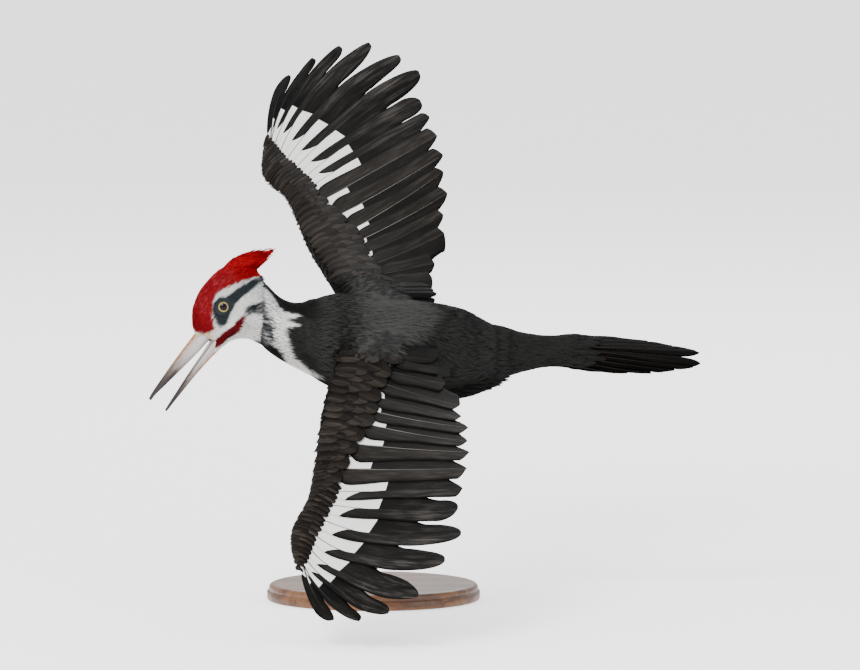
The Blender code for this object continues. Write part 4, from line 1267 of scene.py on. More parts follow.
def coat_tree():
    """Geometry nodes that root vanes over a patch, lay them along its lie and join them."""
    group = bpy.data.node_groups.new("feather_coat", "GeometryNodeTree")
    for name, kind, default in (
        ("Patch", "NodeSocketGeometry", None), ("Vane", "NodeSocketObject", None),
        ("Spacing", "NodeSocketFloat", 0.002), ("Density", "NodeSocketFloat", 500000.0),
        ("Length", "NodeSocketFloat", 1.0), ("Lift", "NodeSocketFloat", 1.0),
        ("Unevenness", "NodeSocketFloat", 0.15), ("Bake Size", "NodeSocketFloat", 0.003),
        ("Seed", "NodeSocketInt", 0), ("Finish", "NodeSocketMaterial", None),
    ):
        socket = group.interface.new_socket(name=name, in_out="INPUT", socket_type=kind)
        if default is not None:
            socket.default_value = default
    group.interface.new_socket(name="Coat", in_out="OUTPUT", socket_type="NodeSocketGeometry")
    tree = Tree(group)
    given = tree.node("NodeGroupInput")

    def wanted(name):
        return tree.out(given, name)

    def named(name, kind):
        node = tree.node("GeometryNodeInputNamedAttribute", {"data_type": kind}, {"Name": name})
        return tree.out(node, "Attribute")

    def chance(low, high, seed):
        node = tree.node("FunctionNodeRandomValue", {"data_type": "FLOAT"},
                         {"Min": low, "Max": high, "Seed": wanted("Seed") + seed})
        return tree.out(node, "Value")

    def stored(geometry, name, kind, domain, value):
        node = tree.node("GeometryNodeStoreNamedAttribute", {"data_type": kind, "domain": domain},
                         {"Geometry": geometry, "Name": name, "Value": value})
        return tree.out(node, "Geometry")

    def rotated(rotation, axis, angle):
        turn = tree.node("FunctionNodeAxisAngleToRotation", None, {"Axis": axis, "Angle": angle})
        return tree.node("FunctionNodeRotateRotation", {"rotation_space": "LOCAL"},
                         {"Rotation": tree.out(rotation), "Rotate By": tree.out(turn)})

    spread = tree.node(
        "GeometryNodeDistributePointsOnFaces", {"distribute_method": "POISSON"},
        {"Mesh": wanted("Patch"), "Distance Min": wanted("Spacing"), "Density Max": wanted("Density"),
         "Density Factor": named("cover", "FLOAT"), "Seed": wanted("Seed")},
    )
    roots = stored(tree.out(spread, "Points"), "root_place", "FLOAT_VECTOR", "POINT",
                   named(BAKE_MAP, "FLOAT_VECTOR"))
    roots = tree.out(tree.node("GeometryNodeRemoveAttribute", None, {"Geometry": roots, "Name": BAKE_MAP}))
    roots = stored(roots, "shade", "FLOAT", "POINT", chance(0.0, 1.0, 11))

    upright = tree.node("FunctionNodeAlignRotationToVector", {"axis": "Z"},
                        {"Vector": tree.out(spread, "Normal")})
    laid = tree.node("FunctionNodeAlignRotationToVector", {"axis": "Y", "pivot_axis": "Z"},
                     {"Rotation": tree.out(upright), "Vector": named("lie", "FLOAT_VECTOR")})
    size = tree.node("ShaderNodeSeparateXYZ", None, {0: named("feather", "FLOAT_VECTOR")})
    turned = rotated(laid, (0, 0, 1), chance(-1.0, 1.0, 23) * wanted("Unevenness"))
    lifted = rotated(turned, (1, 0, 0), tree.out(size, "Z") * wanted("Lift") * chance(0.75, 1.25, 31))
    grown = chance(0.85, 1.15, 47)
    width, length = tree.out(size, "X") * grown, tree.out(size, "Y") * wanted("Length") * grown
    vane = tree.node("GeometryNodeObjectInfo", None, {"Object": wanted("Vane")})
    placed = tree.node("GeometryNodeInstanceOnPoints", None, {
        "Points": roots, "Instance": tree.out(vane, "Geometry"), "Rotation": tree.out(lifted),
        "Scale": tree.combine(width, length, length),
    })
    real = tree.out(tree.node("GeometryNodeRealizeInstances", None, {"Geometry": tree.out(placed)}))
    patch = tree.vector("SCALE", tree.combine(named("across", "FLOAT") * 0.5, named("along", "FLOAT") - 0.5),
                        scale=wanted("Bake Size"))
    mapped = stored(real, BAKE_MAP, "FLOAT2", "CORNER",
                    tree.vector("ADD", named("root_place", "FLOAT_VECTOR"), patch))
    finished = tree.node("GeometryNodeSetMaterial", None, {"Geometry": mapped, "Material": wanted("Finish")})
    tree.node("NodeGroupOutput", None, {"Coat": tree.out(finished)})
    return group


def cylinder_places(points, corners, centre, axis, zero):
    """Place of each face corner on an unwrap round an axis; zero is the direction opposite its seam."""
    axis, zero = unit(np.array(axis, float)), np.array(zero, float)
    zero = unit(zero - axis * (zero @ axis))
    other = np.cross(axis, zero)
    from_axis = points - np.array(centre)
    angle = np.arctan2(from_axis @ other, from_axis @ zero)
    along = from_axis @ axis
    first = angle[corners[:, :1]]
    near = first + (angle[corners] - first + np.pi) % (2 * np.pi) - np.pi
    return np.stack([near / (2 * np.pi), along[corners] / 150.0], axis=-1)


def round_axis(centre, axis, zero):
    """Unwrap round an axis, for a patch's points and corners."""
    return lambda points, corners: cylinder_places(points, corners, centre, axis, zero)


def plan_places(points, corners):
    """Place of each face corner seen along the wing's thickness."""
    return points[:, [1, 0]][corners]


def patch_object(skin, name, chosen, places):
    """Part of the skin's surface to root feathers on, with its own unwrap."""
    mesh = skin.data
    corners = np.empty(len(mesh.loops), np.int32)
    mesh.loops.foreach_get("vertex_index", corners)
    faces = corners.reshape(-1, 4)
    keep = faces[chosen[faces].mean(axis=1) > 0.5]
    used, local = np.unique(keep, return_inverse=True)
    local = local.reshape(keep.shape)
    patch = bpy.data.meshes.new(name)
    points = read_points(mesh)[used]
    patch.from_pydata(points.tolist(), [], local.tolist())
    for key, width in (("plumage", 4), ("lie", 3), ("feather", 3), ("cover", 1)):
        set_values(patch, **{key: get_values(mesh, key, width)[used]})
    spots = places(to_bird(points), local)
    low, high = spots.reshape(-1, 2).min(axis=0), spots.reshape(-1, 2).max(axis=0)
    spots = 0.01 + 0.98 * (spots - low) / (high - low)
    set_bake_places(patch, spots)
    return new_object(name, patch)


BACK_COAT_SPAN = 47            # the mantle's feathers go on over the wing's root up to this span,
WING_COAT_SPAN = 43            # and the wing's own begin at this one
SMALL_COVERTS_END = (0.45, 0.2)    # share of the chord that they cover on arm and hand
LINING_SHARES = (0.05, 0.7)
RUMP_COAT_END_X = -132.5
FACE_START_X = 3               # the shortest feathers lie ahead of this, below the next height
FACE_END_Z = 14
WING_SPACING = 2.6             # millimetres between the roots of a wing's small coverts
WING_UNEVENNESS = 2.2
LINING_SPACING = 2.0
LINING_LENGTH = 0.85
CREST_UNEVENNESS = 0.4
VANE_OVERLAP = 1.6             # roots tried on the square of the spacing


def grow_coat(patch, group, vane, spacing, seed, settings, uneven=1.0, length=1.0):
    """Runs the coat's nodes on a patch and leaves a plain mesh in its place."""
    name = patch.name
    patch.name = name + "_patch"
    modifier = patch.modifiers.new("coat", "NODES")
    modifier.node_group = group
    ids = {item.name: item.identifier for item in group.interface.items_tree if item.in_out == "INPUT"}
    gap = spacing * MM * settings.spacing
    for key, value in (
        ("Vane", vane), ("Spacing", gap), ("Density", VANE_OVERLAP / gap**2), ("Length", length),
        ("Lift", settings.lift), ("Unevenness", settings.unevenness * uneven),
        ("Seed", settings.seed + seed), ("Finish", made("plumage", coat_material)),
    ):
        modifier[ids[key]] = value
    mesh = finished_mesh(patch, name)
    for key in ("lie", "feather", "cover", "root_place"):
        if key in mesh.attributes:
            mesh.attributes.remove(mesh.attributes[key])
    return new_object(name, mesh)


# ---------------------------------------------------------------- large feathers
VANE_SHARES = np.array((-1.0, -0.8, -0.55, -0.3, -0.05, 0.05, 0.35, 0.68, 1.0))
COVERT_SHARES = np.array((-1.0, -0.6, -0.06, 0.06, 0.6, 1.0))


def sheet(place, plan, lift, thick, shares):
    """Thin closed plate over plan points, with its top and bottom on separate bake places."""
    rows, columns = plan.shape[:2]
    half = thick / 2 * (1 - 0.55 * np.abs(shares))[None, :]
    top, bottom = place(plan, lift + half), place(plan, lift - half)
    faces = grid_faces(rows, columns)
    size = rows * columns
    index = np.arange(size).reshape(rows, columns)
    border = np.concatenate([index[0, :-1], index[:-1, -1], index[-1, :0:-1], index[:0:-1, 0]])
    after = np.roll(border, -1)
    rims = np.column_stack([border, border + size, after + size, after])
    rim_places = np.column_stack([border, border, after, after])
    points = np.concatenate([top.reshape(-1, 3), bottom.reshape(-1, 3)])
    both = np.concatenate([faces, faces[:, ::-1] + size, rims])
    return points, both, np.concatenate([both[:-len(rims)], rim_places])


def big_feather(place, middle, outer, inner, lift, look, cell, shares=VANE_SHARES, thick=0.4, shaft=0.55):
    """A feather with a vane either side of a raised shaft.

    middle is the shaft's plan line, outer and inner the two vanes' widths along it, and lift(plan,
    share) the height of its middle surface. look gives its colours and white limits, and cell its
    column of the bake's map as (number, columns).
    """
    tangent = unit(np.gradient(middle, axis=0))
    across = np.stack([tangent[:, 1], -tangent[:, 0]], axis=1)
    width = np.where(shares[None, :] > 0, shares * outer[:, None], shares * inner[:, None])
    plan = middle[:, None, :] + across[:, None, :] * width[..., None]
    steps = np.linalg.norm(np.diff(middle, axis=0), axis=1)
    run = np.concatenate([[0], np.cumsum(steps)])
    along = run / run[-1]
    share_grid = np.broadcast_to(shares, width.shape)
    points, faces, bake_faces = sheet(place, plan, lift(plan, share_grid), thick, shares)
    barb = np.stack([run[:, None] - 0.9 * np.abs(width), width, 0 * width + 13.7 * cell[0]], axis=-1)
    mm_from_root = run[:, None] - look["root"]
    outer_limit = look["outer_white"] + WHITE_SLANT * (1 - np.abs(shares)) ** 1.8
    limit = np.where(shares > 0, outer_limit, look["inner_white"] + 2.0 - 5.0 * np.abs(shares))
    white = np.where(mm_from_root > -40, limit - mm_from_root, 5.0)
    column = (cell[0] + 0.5 + 0.42 * share_grid) / cell[1]
    level = np.broadcast_to(along[:, None], width.shape)
    bake = np.concatenate([
        np.stack([column, 0.51 + 0.48 * level], axis=-1).reshape(-1, 2),
        np.stack([column, 0.01 + 0.48 * level], axis=-1).reshape(-1, 2),
    ])

    def twice(values):
        flat = values.reshape(-1, *values.shape[2:])
        return np.concatenate([flat, flat])

    size = 2 * width.size
    vane = Shape(
        points, faces, bake, bake_faces, plumage=opaque(np.tile(look["tone"], (size, 1))),
        white_tone=opaque(np.tile(look["white_tone"], (size, 1))), white=twice(white), along=twice(level),
        across=twice(share_grid * look.get("edge", 1.0)), barb=twice(barb),
        gloss=np.full(size, look.get("gloss", 0.0)),
    )
    radius = shaft * (1.0 - 0.8 * along) * np.where(along > 0.97, 0.5, 1.0)
    height = lift(middle[:, None, :], np.zeros((len(middle), 1)))[:, 0]
    corners = []
    for out, up in ((1, 0), (0, 0.75), (-1, 0), (0, -0.75)):
        aside = across * (radius * out)[:, None]
        corners.append(place(middle + aside, height + (radius + thick * 0.4) * up))
    rings = np.stack(corners, axis=1)[:-1]
    quill = loft(rings)
    count = len(quill.points)
    level = np.concatenate([np.repeat(along[:-1], 4), [0, 1]])
    quill.bake = np.stack([np.full(count, (cell[0] + 0.5) / cell[1]), 0.51 + 0.48 * level], axis=1)
    quill.values = {
        "plumage": opaque(np.tile(look["shaft"], (count, 1))), "white_tone": opaque(np.ones((count, 3))),
        "white": np.full(count, -50.0), "along": level, "across": np.zeros(count), "gloss": np.zeros(count),
        "barb": np.stack([level * 9, 0 * level, 0 * level + cell[0]], axis=1),
    }
    return Shape.joined([vane.facing_out(), quill])


NO_WHITE = -40.0               # a limit of white that lies ahead of every feather's root


def plain_look(shade, shaft_share, edge, colours):
    """Look of a feather of one colour, with a darker shaft."""
    # edge scales how far the painted shade at a vane's edges reaches
    return {"tone": shade, "shaft": shade * shaft_share, "white_tone": np.array(colours.white), "root": 0.0,
            "outer_white": NO_WHITE, "inner_white": NO_WHITE, "edge": edge}


def aft(angle):
    """Direction in plan that points back and turned out by an angle."""
    return np.array((-math.cos(angle), math.sin(angle)))


def shaft_line(tip, back, t, length):
    """Straight shaft's plan positions at shares t, ending at the tip."""
    return tip + back * (t[:, None] - 1) * length


def spaced_rows(count, start=0.0):
    """Shares along a feather, closer together towards its tip."""
    t = np.linspace(0, 1, count)
    t = np.sin(t * np.pi / 2) ** 0.9
    return start + (1 - start) * t


def neighbour_gap(plan, other):
    """Distance in plan from each point to another shaft's line."""
    return np.linalg.norm(plan[:, None, :] - other[None, :, :], axis=-1).min(axis=1)


def covert_profile(t, root, tip_start):
    """Width of a small feather along it: root of the whole at its root, rounded from tip_start on."""
    return (root + (1 - root) * ramp(t, 0, 0.4)) * rounded_off(t, tip_start)


def rounded_off(t, start):
    """1 up to start, then falling like the end of an ellipse."""
    u = np.clip((t - start) / (1 - start), 0, 1)
    return (1 - u * u) ** 0.42


def frayed(rng, count, amount):
    """Factor on a vane's width that makes its edge slightly uneven."""
    slow = np.interp(np.arange(count), np.linspace(0, count - 1, 9), rng.normal(0, 1, 9))
    return np.clip(1 + amount * slow, 0.8, 1.05)


def wing_place(plan, lift):
    """Points above plan positions on the wing's middle surface."""
    return wing_point(plan[..., 0], plan[..., 1], lift)


HIDDEN_QUILL = 17.0            # length of a flight feather under the coverts
REMEX_ROWS = 44
OUTER_RISE = 0.42              # millimetres by which a vane's edge lies over or under its shaft,
INNER_RISE = 0.55              # so that each feather overlaps its neighbour
LAST_SLOT = 0.85
POINTED_TIP = 0.17             # share of a secondary's length over which its inner vane narrows
PALE_SHAFTS = (8, 9, 10, 11)   # the feathers with a pale shaft
# Feathers' numbers and the value of each, read between them.
REMEX_BRIGHTNESS = ((0, 2, 3, 7, 8, 12, 15), (0.4, 0.5, 1.1, 1.1, 1.25, 0.85, 0.55))
# each feather's share of painted sheen, read the same way
REMEX_PAINTED_SHEEN = ((0, 1, 2, 5, 8), (0.1, 0.3, 1.0, 0.9, 0.12))


def remex(i, colours, settings, rng):
    """Flight feather i of the left wing, from the tip inwards."""
    last = len(REMEX_REACH) - 1
    primary = i < PRIMARY_COUNT
    reach = REMEX_REACH[i]
    start = -HIDDEN_QUILL / reach * (0.35 if i < 2 else 1)
    t = spaced_rows(REMEX_ROWS, start)
    middle = remex_plan(i, t)
    lines = {k: remex_plan(k, np.linspace(-0.4, 1.0, 90)) for k in (i - 1, i + 1) if 0 <= k <= last}
    outer_slot = REMEX_SLOT[0] if i == 0 else min(REMEX_SLOT[i - 1] * REMEX_REACH[i - 1] / reach, 0.95)
    inner_slot = REMEX_SLOT[i] if i < last else LAST_SLOT
    share_base, share_end = OUTER_SHARE[0 if primary else 1]
    share = share_base + (share_end - share_base) * ramp(t, 0.05, 0.5)
    if i == 0:
        outer = 3.0 + 3.0 * np.clip(t / outer_slot, 0, 1)
    else:
        gap = neighbour_gap(remex_plan(i, np.minimum(t, outer_slot)), lines[i - 1])
        outer = gap * share
    if i == last:
        inner = LAST_VANE_WIDTH * (0.5 + 0.5 * np.clip(t / inner_slot, 0, 1))
    else:
        gap = neighbour_gap(remex_plan(i, np.minimum(t, inner_slot)), lines[i + 1])
        inner = gap * (0.52 + 0.33 * ramp(t, inner_slot * 0.97, inner_slot * 0.6))
    narrow = 0.35 + 0.65 * ramp(t, start, 0.06)
    if i < PRIMARY_COUNT - 1:
        outer_tip, inner_tip = rounded_off(t, outer_slot), rounded_off(t, inner_slot)
    else:
        outer_tip, inner_tip = rounded_off(t, 0.965), np.clip((1 - t) / POINTED_TIP, 0, 1) ** 0.8
    outer = outer * outer_tip * narrow * frayed(rng, len(t), settings.fray * 0.5)
    inner = inner * inner_tip * narrow * frayed(rng, len(t), settings.fray)

    def lift(plan, shares):
        return np.where(shares > 0, OUTER_RISE, INNER_RISE) * shares + 0 * plan[..., 0]

    base = np.array(colours.primary if primary else colours.secondary)
    pale_shaft = np.array(tone("6b6966")) if i in PALE_SHAFTS else base * 0.5 + 0.03
    look = {
        "tone": base * rng.uniform(0.85, 1.2) * np.interp(i, *REMEX_BRIGHTNESS),
        "gloss": float(np.interp(i, *REMEX_PAINTED_SHEEN)),
        "shaft": pale_shaft if not primary else np.array(tone("2c2a28")),
        "white_tone": np.array(colours.white), "root": -start * reach,
        "outer_white": OUTER_WHITE[i] if i < len(OUTER_WHITE) else NO_WHITE,
        "inner_white": INNER_WHITE[i] if i < len(INNER_WHITE) else NO_WHITE,
    }
    return middle, outer, inner, lift, look


def wing_feathers(members, side, colours, settings):
    """Some flight feathers of one wing as one shape."""
    shapes = []
    for k, i in enumerate(members):
        rng = np.random.default_rng(settings.seed * 100 + i)
        middle, outer, inner, lift, look = remex(i, colours, settings, rng)
        feather = big_feather(wing_place, middle, outer, inner, lift, look, (k, len(members)),
                              thick=settings.thickness / MM, shaft=settings.shaft / MM)
        shapes.append(feather.mirrored(side))
    return Shape.joined(shapes)


COVERT_ROWS = (                # tip's share of the chord, length, width, spans from and to, how many
    (0.94, 28.0, 18.0, (44.0, 190.0), 10),
    (0.74, 24.0, 16.0, (44.0, 192.0), 12),
    (0.56, 20.0, 14.0, (44.0, 194.0), 15),
    (0.40, 16.0, 12.0, (44.0, 196.0), 18),
)
HAND_ROWS = (
    (1.02, 36.0, 8.0, (190.0, 278.0), 19),
    (0.62, 27.0, 7.5, (191.0, 270.0), 16),
    (0.34, 19.0, 7.0, (193.0, 264.0), 14),
)


FIRST_ROOT_SHARE = 0.03        # no covert roots further forward on the chord
LAST_LINING_SPAN = 266.0
HAND_COVERT_ANGLE = math.radians(66)
ARM_SHADES = (0.6, 1.4)        # darkest and lightest covert of the arm, as factors on their colour
HAND_SHADES = (0.45, 1.5)
COVERT_THICKNESS = 0.24
COVERT_SHAFT = 0.18


def covert_row(row, side, under, colours, rng, cell_start, cells):
    """One row of coverts over or under the left wing, mirrored for the right."""
    share, length, width, (low, high), count = row
    high = min(high, LAST_LINING_SPAN) if under else high
    on_hand = low > WRIST_SPAN
    shapes = []
    for k in range(count):
        span = low + (high - low) * (k + 0.5 + rng.uniform(-0.12, 0.12)) / count
        size = rng.uniform(0.92, 1.08)
        lead, rear = leading_edge(span)[0, 0], covert_x(span)[0]
        tip = np.array((lead + (rear - lead) * (share + rng.uniform(-0.025, 0.025)), span))
        angle = fan_angle(span)[0] + rng.normal(0, 0.05)
        if on_hand:
            angle = 0.5 * angle + 0.5 * HAND_COVERT_ANGLE
        back = aft(angle)
        while chord_share(*(tip - back * length * size)) < FIRST_ROOT_SHARE:
            size *= 0.96
        t = spaced_rows(13)
        bend = np.array((math.sin(angle), math.cos(angle))) * (0.06 * length * size)
        middle = shaft_line(tip, back, t, length * size) + bend * (t * (1 - t))[:, None]
        profile = covert_profile(t, 0.55, 0.62)
        outer, inner = width * size * 0.48 * profile, width * size * 0.56 * profile
        if not under:
            inner = inner * frayed(rng, len(t), 0.03)

        def lift(plan, shares):
            x, y = plan[..., 0], plan[..., 1]
            at = chord_share(x, y)
            progress = np.clip(((plan - middle[0]) @ back) / (length * size), 0, 1.1)
            rise = swell(at, y) - 0.6 + 0.65 * progress - 0.04 * np.abs(shares) + 0.14 * shares
            return -rise if under else rise

        if under:
            shade = np.array(colours.white) * rng.uniform(0.8, 1.0)
            if share > 0.9:
                shade = shade * 0.75
        else:
            shade = np.array(colours.covert) * rng.uniform(*(HAND_SHADES if on_hand else ARM_SHADES))
        look = plain_look(shade, 0.6, 0.88 if under else 0.97, colours)
        feather = big_feather(wing_place, middle, outer, inner, lift, look, (cell_start + k, cells),
                              COVERT_SHARES, COVERT_THICKNESS, COVERT_SHAFT)
        shapes.append(feather.mirrored(side))
    return shapes


TERTIALS = (                   # tip (x, span), length, width, height above wing or back
    ((-22.0, 46.0), 34.0, 12.0, 0.4), ((-25.0, 41.0), 34.0, 11.0, 0.6), ((-27.0, 36.5), 30.0, 9.0, 0.8),
    ((-26.0, 32.5), 25.0, 9.0, -2.0), ((-24.0, 28.5), 24.0, 9.0, -3.0),
)


TERTIAL_THICKNESS = 0.36
TERTIAL_SHAFT = 0.35


def back_height(x, y):
    """Height of the trunk's upper surface at plan positions, or nothing beyond its sides."""
    size = hermite(TRUNK_STATIONS, x)
    out = np.clip(np.abs(y) / size[..., 0], 0, 1) ** 2.1
    return size[..., 2] + size[..., 1] * (1 - out) ** (1 / 2.1)


def tertials(side, colours, rng, cell_start, cells):
    """Loose feathers behind the wing's root."""
    shapes = []
    for k, (tip, length, width, height) in enumerate(TERTIALS):
        t = spaced_rows(16)
        middle = shaft_line(np.array(tip), aft(0.10 + rng.normal(0, 0.04)), t, length)
        half = width * 0.5 * covert_profile(t, 0.5, 0.7)

        def lift(plan, shares):
            x, y = plan[..., 0], plan[..., 1]
            over_wing = swell(chord_share(x, y), y) + height
            over_back = back_height(x, y) + height - wing_point(x, y)[..., 2]
            return np.maximum(over_wing, over_back) - 0.7 * np.abs(shares) ** 2

        shade = np.array(colours.primary if k < 4 else colours.mantle) * rng.uniform(0.5, 0.9)
        look = plain_look(shade, 0.6, 0.88, colours)
        feather = big_feather(wing_place, middle, half, half, lift, look, (cell_start + k, cells),
                              COVERT_SHARES, TERTIAL_THICKNESS, TERTIAL_SHAFT)
        shapes.append(feather.mirrored(side))
    return shapes


# ---------------------------------------------------------------- tail
TAIL_SAG = 2.8                 # how far the tip hangs below the root, beside the droop of the sides
TAIL_END_X = -226


def tail_place(plan, lift):
    """Points of the tail's curved middle surface above plan positions."""
    x, y = plan[..., 0], plan[..., 1]
    sag = TAIL_SAG * ramp(x, TAIL_ROOT_X, TAIL_END_X)
    return np.stack([x, y, TAIL_Z + lift - TAIL_DROOP * y**2 - sag], axis=-1)


HIDDEN_RECTRIX = 22.0          # length of a tail feather under the tail coverts
RECTRIX_ROWS = 40


def tail_feather(i, colours, settings):
    """Stiff pointed feather i of ten, from left to right; the middle pair lies on top."""
    half = len(RECTRIX_TIPS)
    out = half - 1 - i if i < half else i - half
    side = 1 if i < half else -1
    reach, tip_y = RECTRIX_TIPS[out]
    rng = np.random.default_rng(settings.seed * 50 + i)
    start = -HIDDEN_RECTRIX / reach
    t = spaced_rows(RECTRIX_ROWS, start)
    root = np.array((TAIL_ROOT_X, TAIL_ROOT_HALF * (1 - 2 * (i + 0.5) / (2 * half))))
    tip = np.array((TAIL_ROOT_X - reach, side * tip_y))
    bow = 0.04 * (root[1] + tip[1])
    middle = root + (tip - root) * t[:, None]
    middle[:, 1] += np.where(t > 0, bow * 4 * t * (1 - t), 0)
    middle[:, 1] *= np.where(t < 0, 1 + 0.1 * t, 1)
    spacing = 2 * TAIL_ROOT_HALF / (2 * half)
    inner_slot = 0.76 if out == 0 else 0.9
    narrow = 0.6 + 0.4 * ramp(t, start, 0.1)
    outline = [(TAIL_ROOT_X - run, y) for run, y in RECTRIX_TIPS] + [(TAIL_ROOT_X, TAIL_ROOT_HALF)]
    room = np.maximum(hermite(outline, middle[:, 0])[:, 0] - np.abs(middle[:, 1]), 0.2)
    outer = np.minimum(0.8 * spacing if out < half - 1 else 2.4, room) * rounded_off(t, 0.975)
    inner = (np.abs(middle[:, 1]) + 0.1 if out == 0 else 1.5 * spacing) * rounded_off(t, inner_slot) ** 1.3
    outer = outer * narrow * frayed(rng, len(t), settings.fray)
    inner = inner * narrow * frayed(rng, len(t), settings.fray * 0.5)
    level = 0.55 - 0.38 * out

    def lift(plan, shares):
        return level - 0.2 * np.abs(shares) + 0 * plan[..., 0]

    base = np.array(colours.tail)
    look = {"tone": base * rng.uniform(0.85, 1.25), "shaft": np.array(tone("262220")),
            "root": HIDDEN_RECTRIX, "white_tone": np.array(tone("a89e94")),
            "outer_white": NO_WHITE - 20, "inner_white": NO_WHITE - 20}
    if side < 0:
        outer, inner = inner, outer
    return big_feather(tail_place, middle, outer, inner, lift, look, (i, 2 * half),
                       thick=settings.thickness / MM * 1.2, shaft=settings.shaft / MM * 1.1)


TAIL_COVERTS = (               # tip (x, y), length, width, height over the tail
    ((-153.0, -15.0), 36.0, 10.0, 0.6), ((-155.0, 10.5), 36.0, 10.5, 0.6), ((-147.0, 16.0), 32.0, 9.5, 0.5),
    ((-152.0, -8.5), 36.0, 10.5, 0.8), ((-151.0, 4.5), 36.0, 10.5, 0.9), ((-148.0, -3.5), 34.0, 11.0, 1.1),
    ((-141.0, 11.5), 28.0, 11.0, 1.0), ((-140.0, -11.5), 28.0, 11.0, 1.0), ((-138.0, 0.5), 26.0, 12.0, 1.4),
)


TAIL_COVERT_THICKNESS = 0.26
TAIL_COVERT_SHAFT = 0.2


def tail_covert(k, under, colours, rng):
    """Soft feather over or under the roots of the tail."""
    tip, length, width, height = TAIL_COVERTS[k]
    tip = np.array(tip)
    back = unit(np.array((-1.0, 0.006 * tip[1])))
    t = spaced_rows(18)
    middle = shaft_line(tip, back, t, length)
    half = width * 0.5 * (0.6 + 0.4 * ramp(t, 0, 0.4)) * rounded_off(t, 0.42) ** 1.7

    def lift(plan, shares):
        sunk = 3.0 * ramp(plan[..., 0], -130, -116)
        rise = height + 1.7 * ramp(plan[..., 0], -156, -136) - 0.5 * np.abs(shares) ** 2 - sunk
        return -rise - 1.6 if under else rise

    shade = np.array(colours.back) * rng.uniform(0.34, 0.42)
    look = plain_look(shade, 0.7, 0.8, colours)
    count = len(TAIL_COVERTS)
    return big_feather(tail_place, middle, half, half, lift, look, (k + count * under, 2 * count),
                       COVERT_SHARES, TAIL_COVERT_THICKNESS, TAIL_COVERT_SHAFT)


# ---------------------------------------------------------------- bill
def mandible(stations, ridge_up):
    """Fine loft of one mandible with a ridge and flat sides, carrying values for its paint."""
    size, count = 56, 90
    angle = 2 * np.pi * np.arange(size) / size
    c, s = np.cos(angle), np.sin(angle)
    rise = s if ridge_up else -s
    rings, along, height, edge = [], [], [], []
    first, last = stations[0][0], stations[-1][0]
    for share in np.linspace(0, 1, count):
        x = first + (last - first) * share
        high, low, half = hermite(stations, x)[0]
        lean = FACE_LEAN * max(0.0, 1 - share * 8 / 3)
        width = half * (1 - 0.38 * np.maximum(rise, 0) ** 1.2)
        level = (s + 1) / 2
        flat = (np.sign(s) * np.abs(s) ** 0.6 + 1) / 2
        level = np.where(rise < 0, flat, level)
        z = low + (high - low) * level
        groove = 0.28 * np.exp(-((rise - 0.45) / 0.10) ** 2) * (1 - ramp(share, 0.45, 0.8))
        y = (width - np.where(ridge_up, groove, groove * 0.4)) * c
        rings.append(np.stack([x + (z - FACE_TOP_Z) * lean, y, z], axis=1))
        along.append(np.full(size, share))
        height.append(np.clip(rise, 0, 1))
        edge.append(np.exp(-((rise + 0.4) / 0.3) ** 2) * (ramp(share, 0.25, 0.7) if ridge_up else 1.0))
    rings = np.array(rings)
    cap = rings[-1].mean(axis=0)
    for shrink, push in ((0.82, 0.22), (0.5, 0.4)):
        rings = np.concatenate([rings, [cap + (rings[count - 1] - cap) * shrink + (push, 0, 0)]])
        along.append(np.ones(size))
        height.append(height[-1])
        edge.append(edge[-1])
    place = rings.copy()
    return loft(from_head(rings), along=np.array(along), height=np.array(height), edge=np.array(edge),
                place=place)


def gape_skin():
    """Fold of skin and mouth lining in the corner between the mandibles, dark with painted shade."""
    rings = []
    for share in np.linspace(0, 1, 14):
        x = 20.5 + 6.0 * share
        middle = -7.9
        tall = 0.9 * (1 - 0.5 * share)
        wide = 8.0 * (1 - 0.2 * share)
        rings.append(superellipse((x, 0, middle), (0, wide, 0), (0, 0, tall), 32, 2.6))
    return loft(from_head(rings))


# ---------------------------------------------------------------- eyes
EYE_SEGMENTS = 64
LID_SEGMENTS = 96
LID_PROFILE = (                # from the eye's axis, height over the ball's centre
    (4.00, 2.9), (4.02, 3.42), (4.14, 3.62), (4.34, 3.66), (4.55, 3.48), (4.80, 3.42), (5.1, 3.40),
    (5.45, 3.1), (5.9, 2.5), (6.5, 1.4), (6.3, 0.6), (4.6, 1.4),
)


def beside_head(radius, height, angle):
    """Ring round the left eye's axis at a height over the ball's centre."""
    level = EYE_SIDE + height + 0 * angle
    return np.stack([radius * np.cos(angle), level, radius * np.sin(angle)], axis=1)


def eye_ball(side):
    """Eyeball as far as a little behind its widest ring."""
    angle = 2 * np.pi * np.arange(EYE_SEGMENTS) / EYE_SEGMENTS
    rings, out = [], []
    for polar in np.linspace(0.04, math.radians(100), 46):
        radius, height = EYE_RADIUS * math.sin(polar), EYE_RADIUS * math.cos(polar)
        rings.append(beside_head(radius, height, angle))
        out.append(np.full(EYE_SEGMENTS, radius if polar < np.pi / 2 else EYE_RADIUS))
    shape = loft(rings, from_axis=out, round_axis=[np.abs(angle - np.pi)] * len(rings))
    shape.points = from_head(shape.points * (1, side, 1))
    return shape.facing_out()


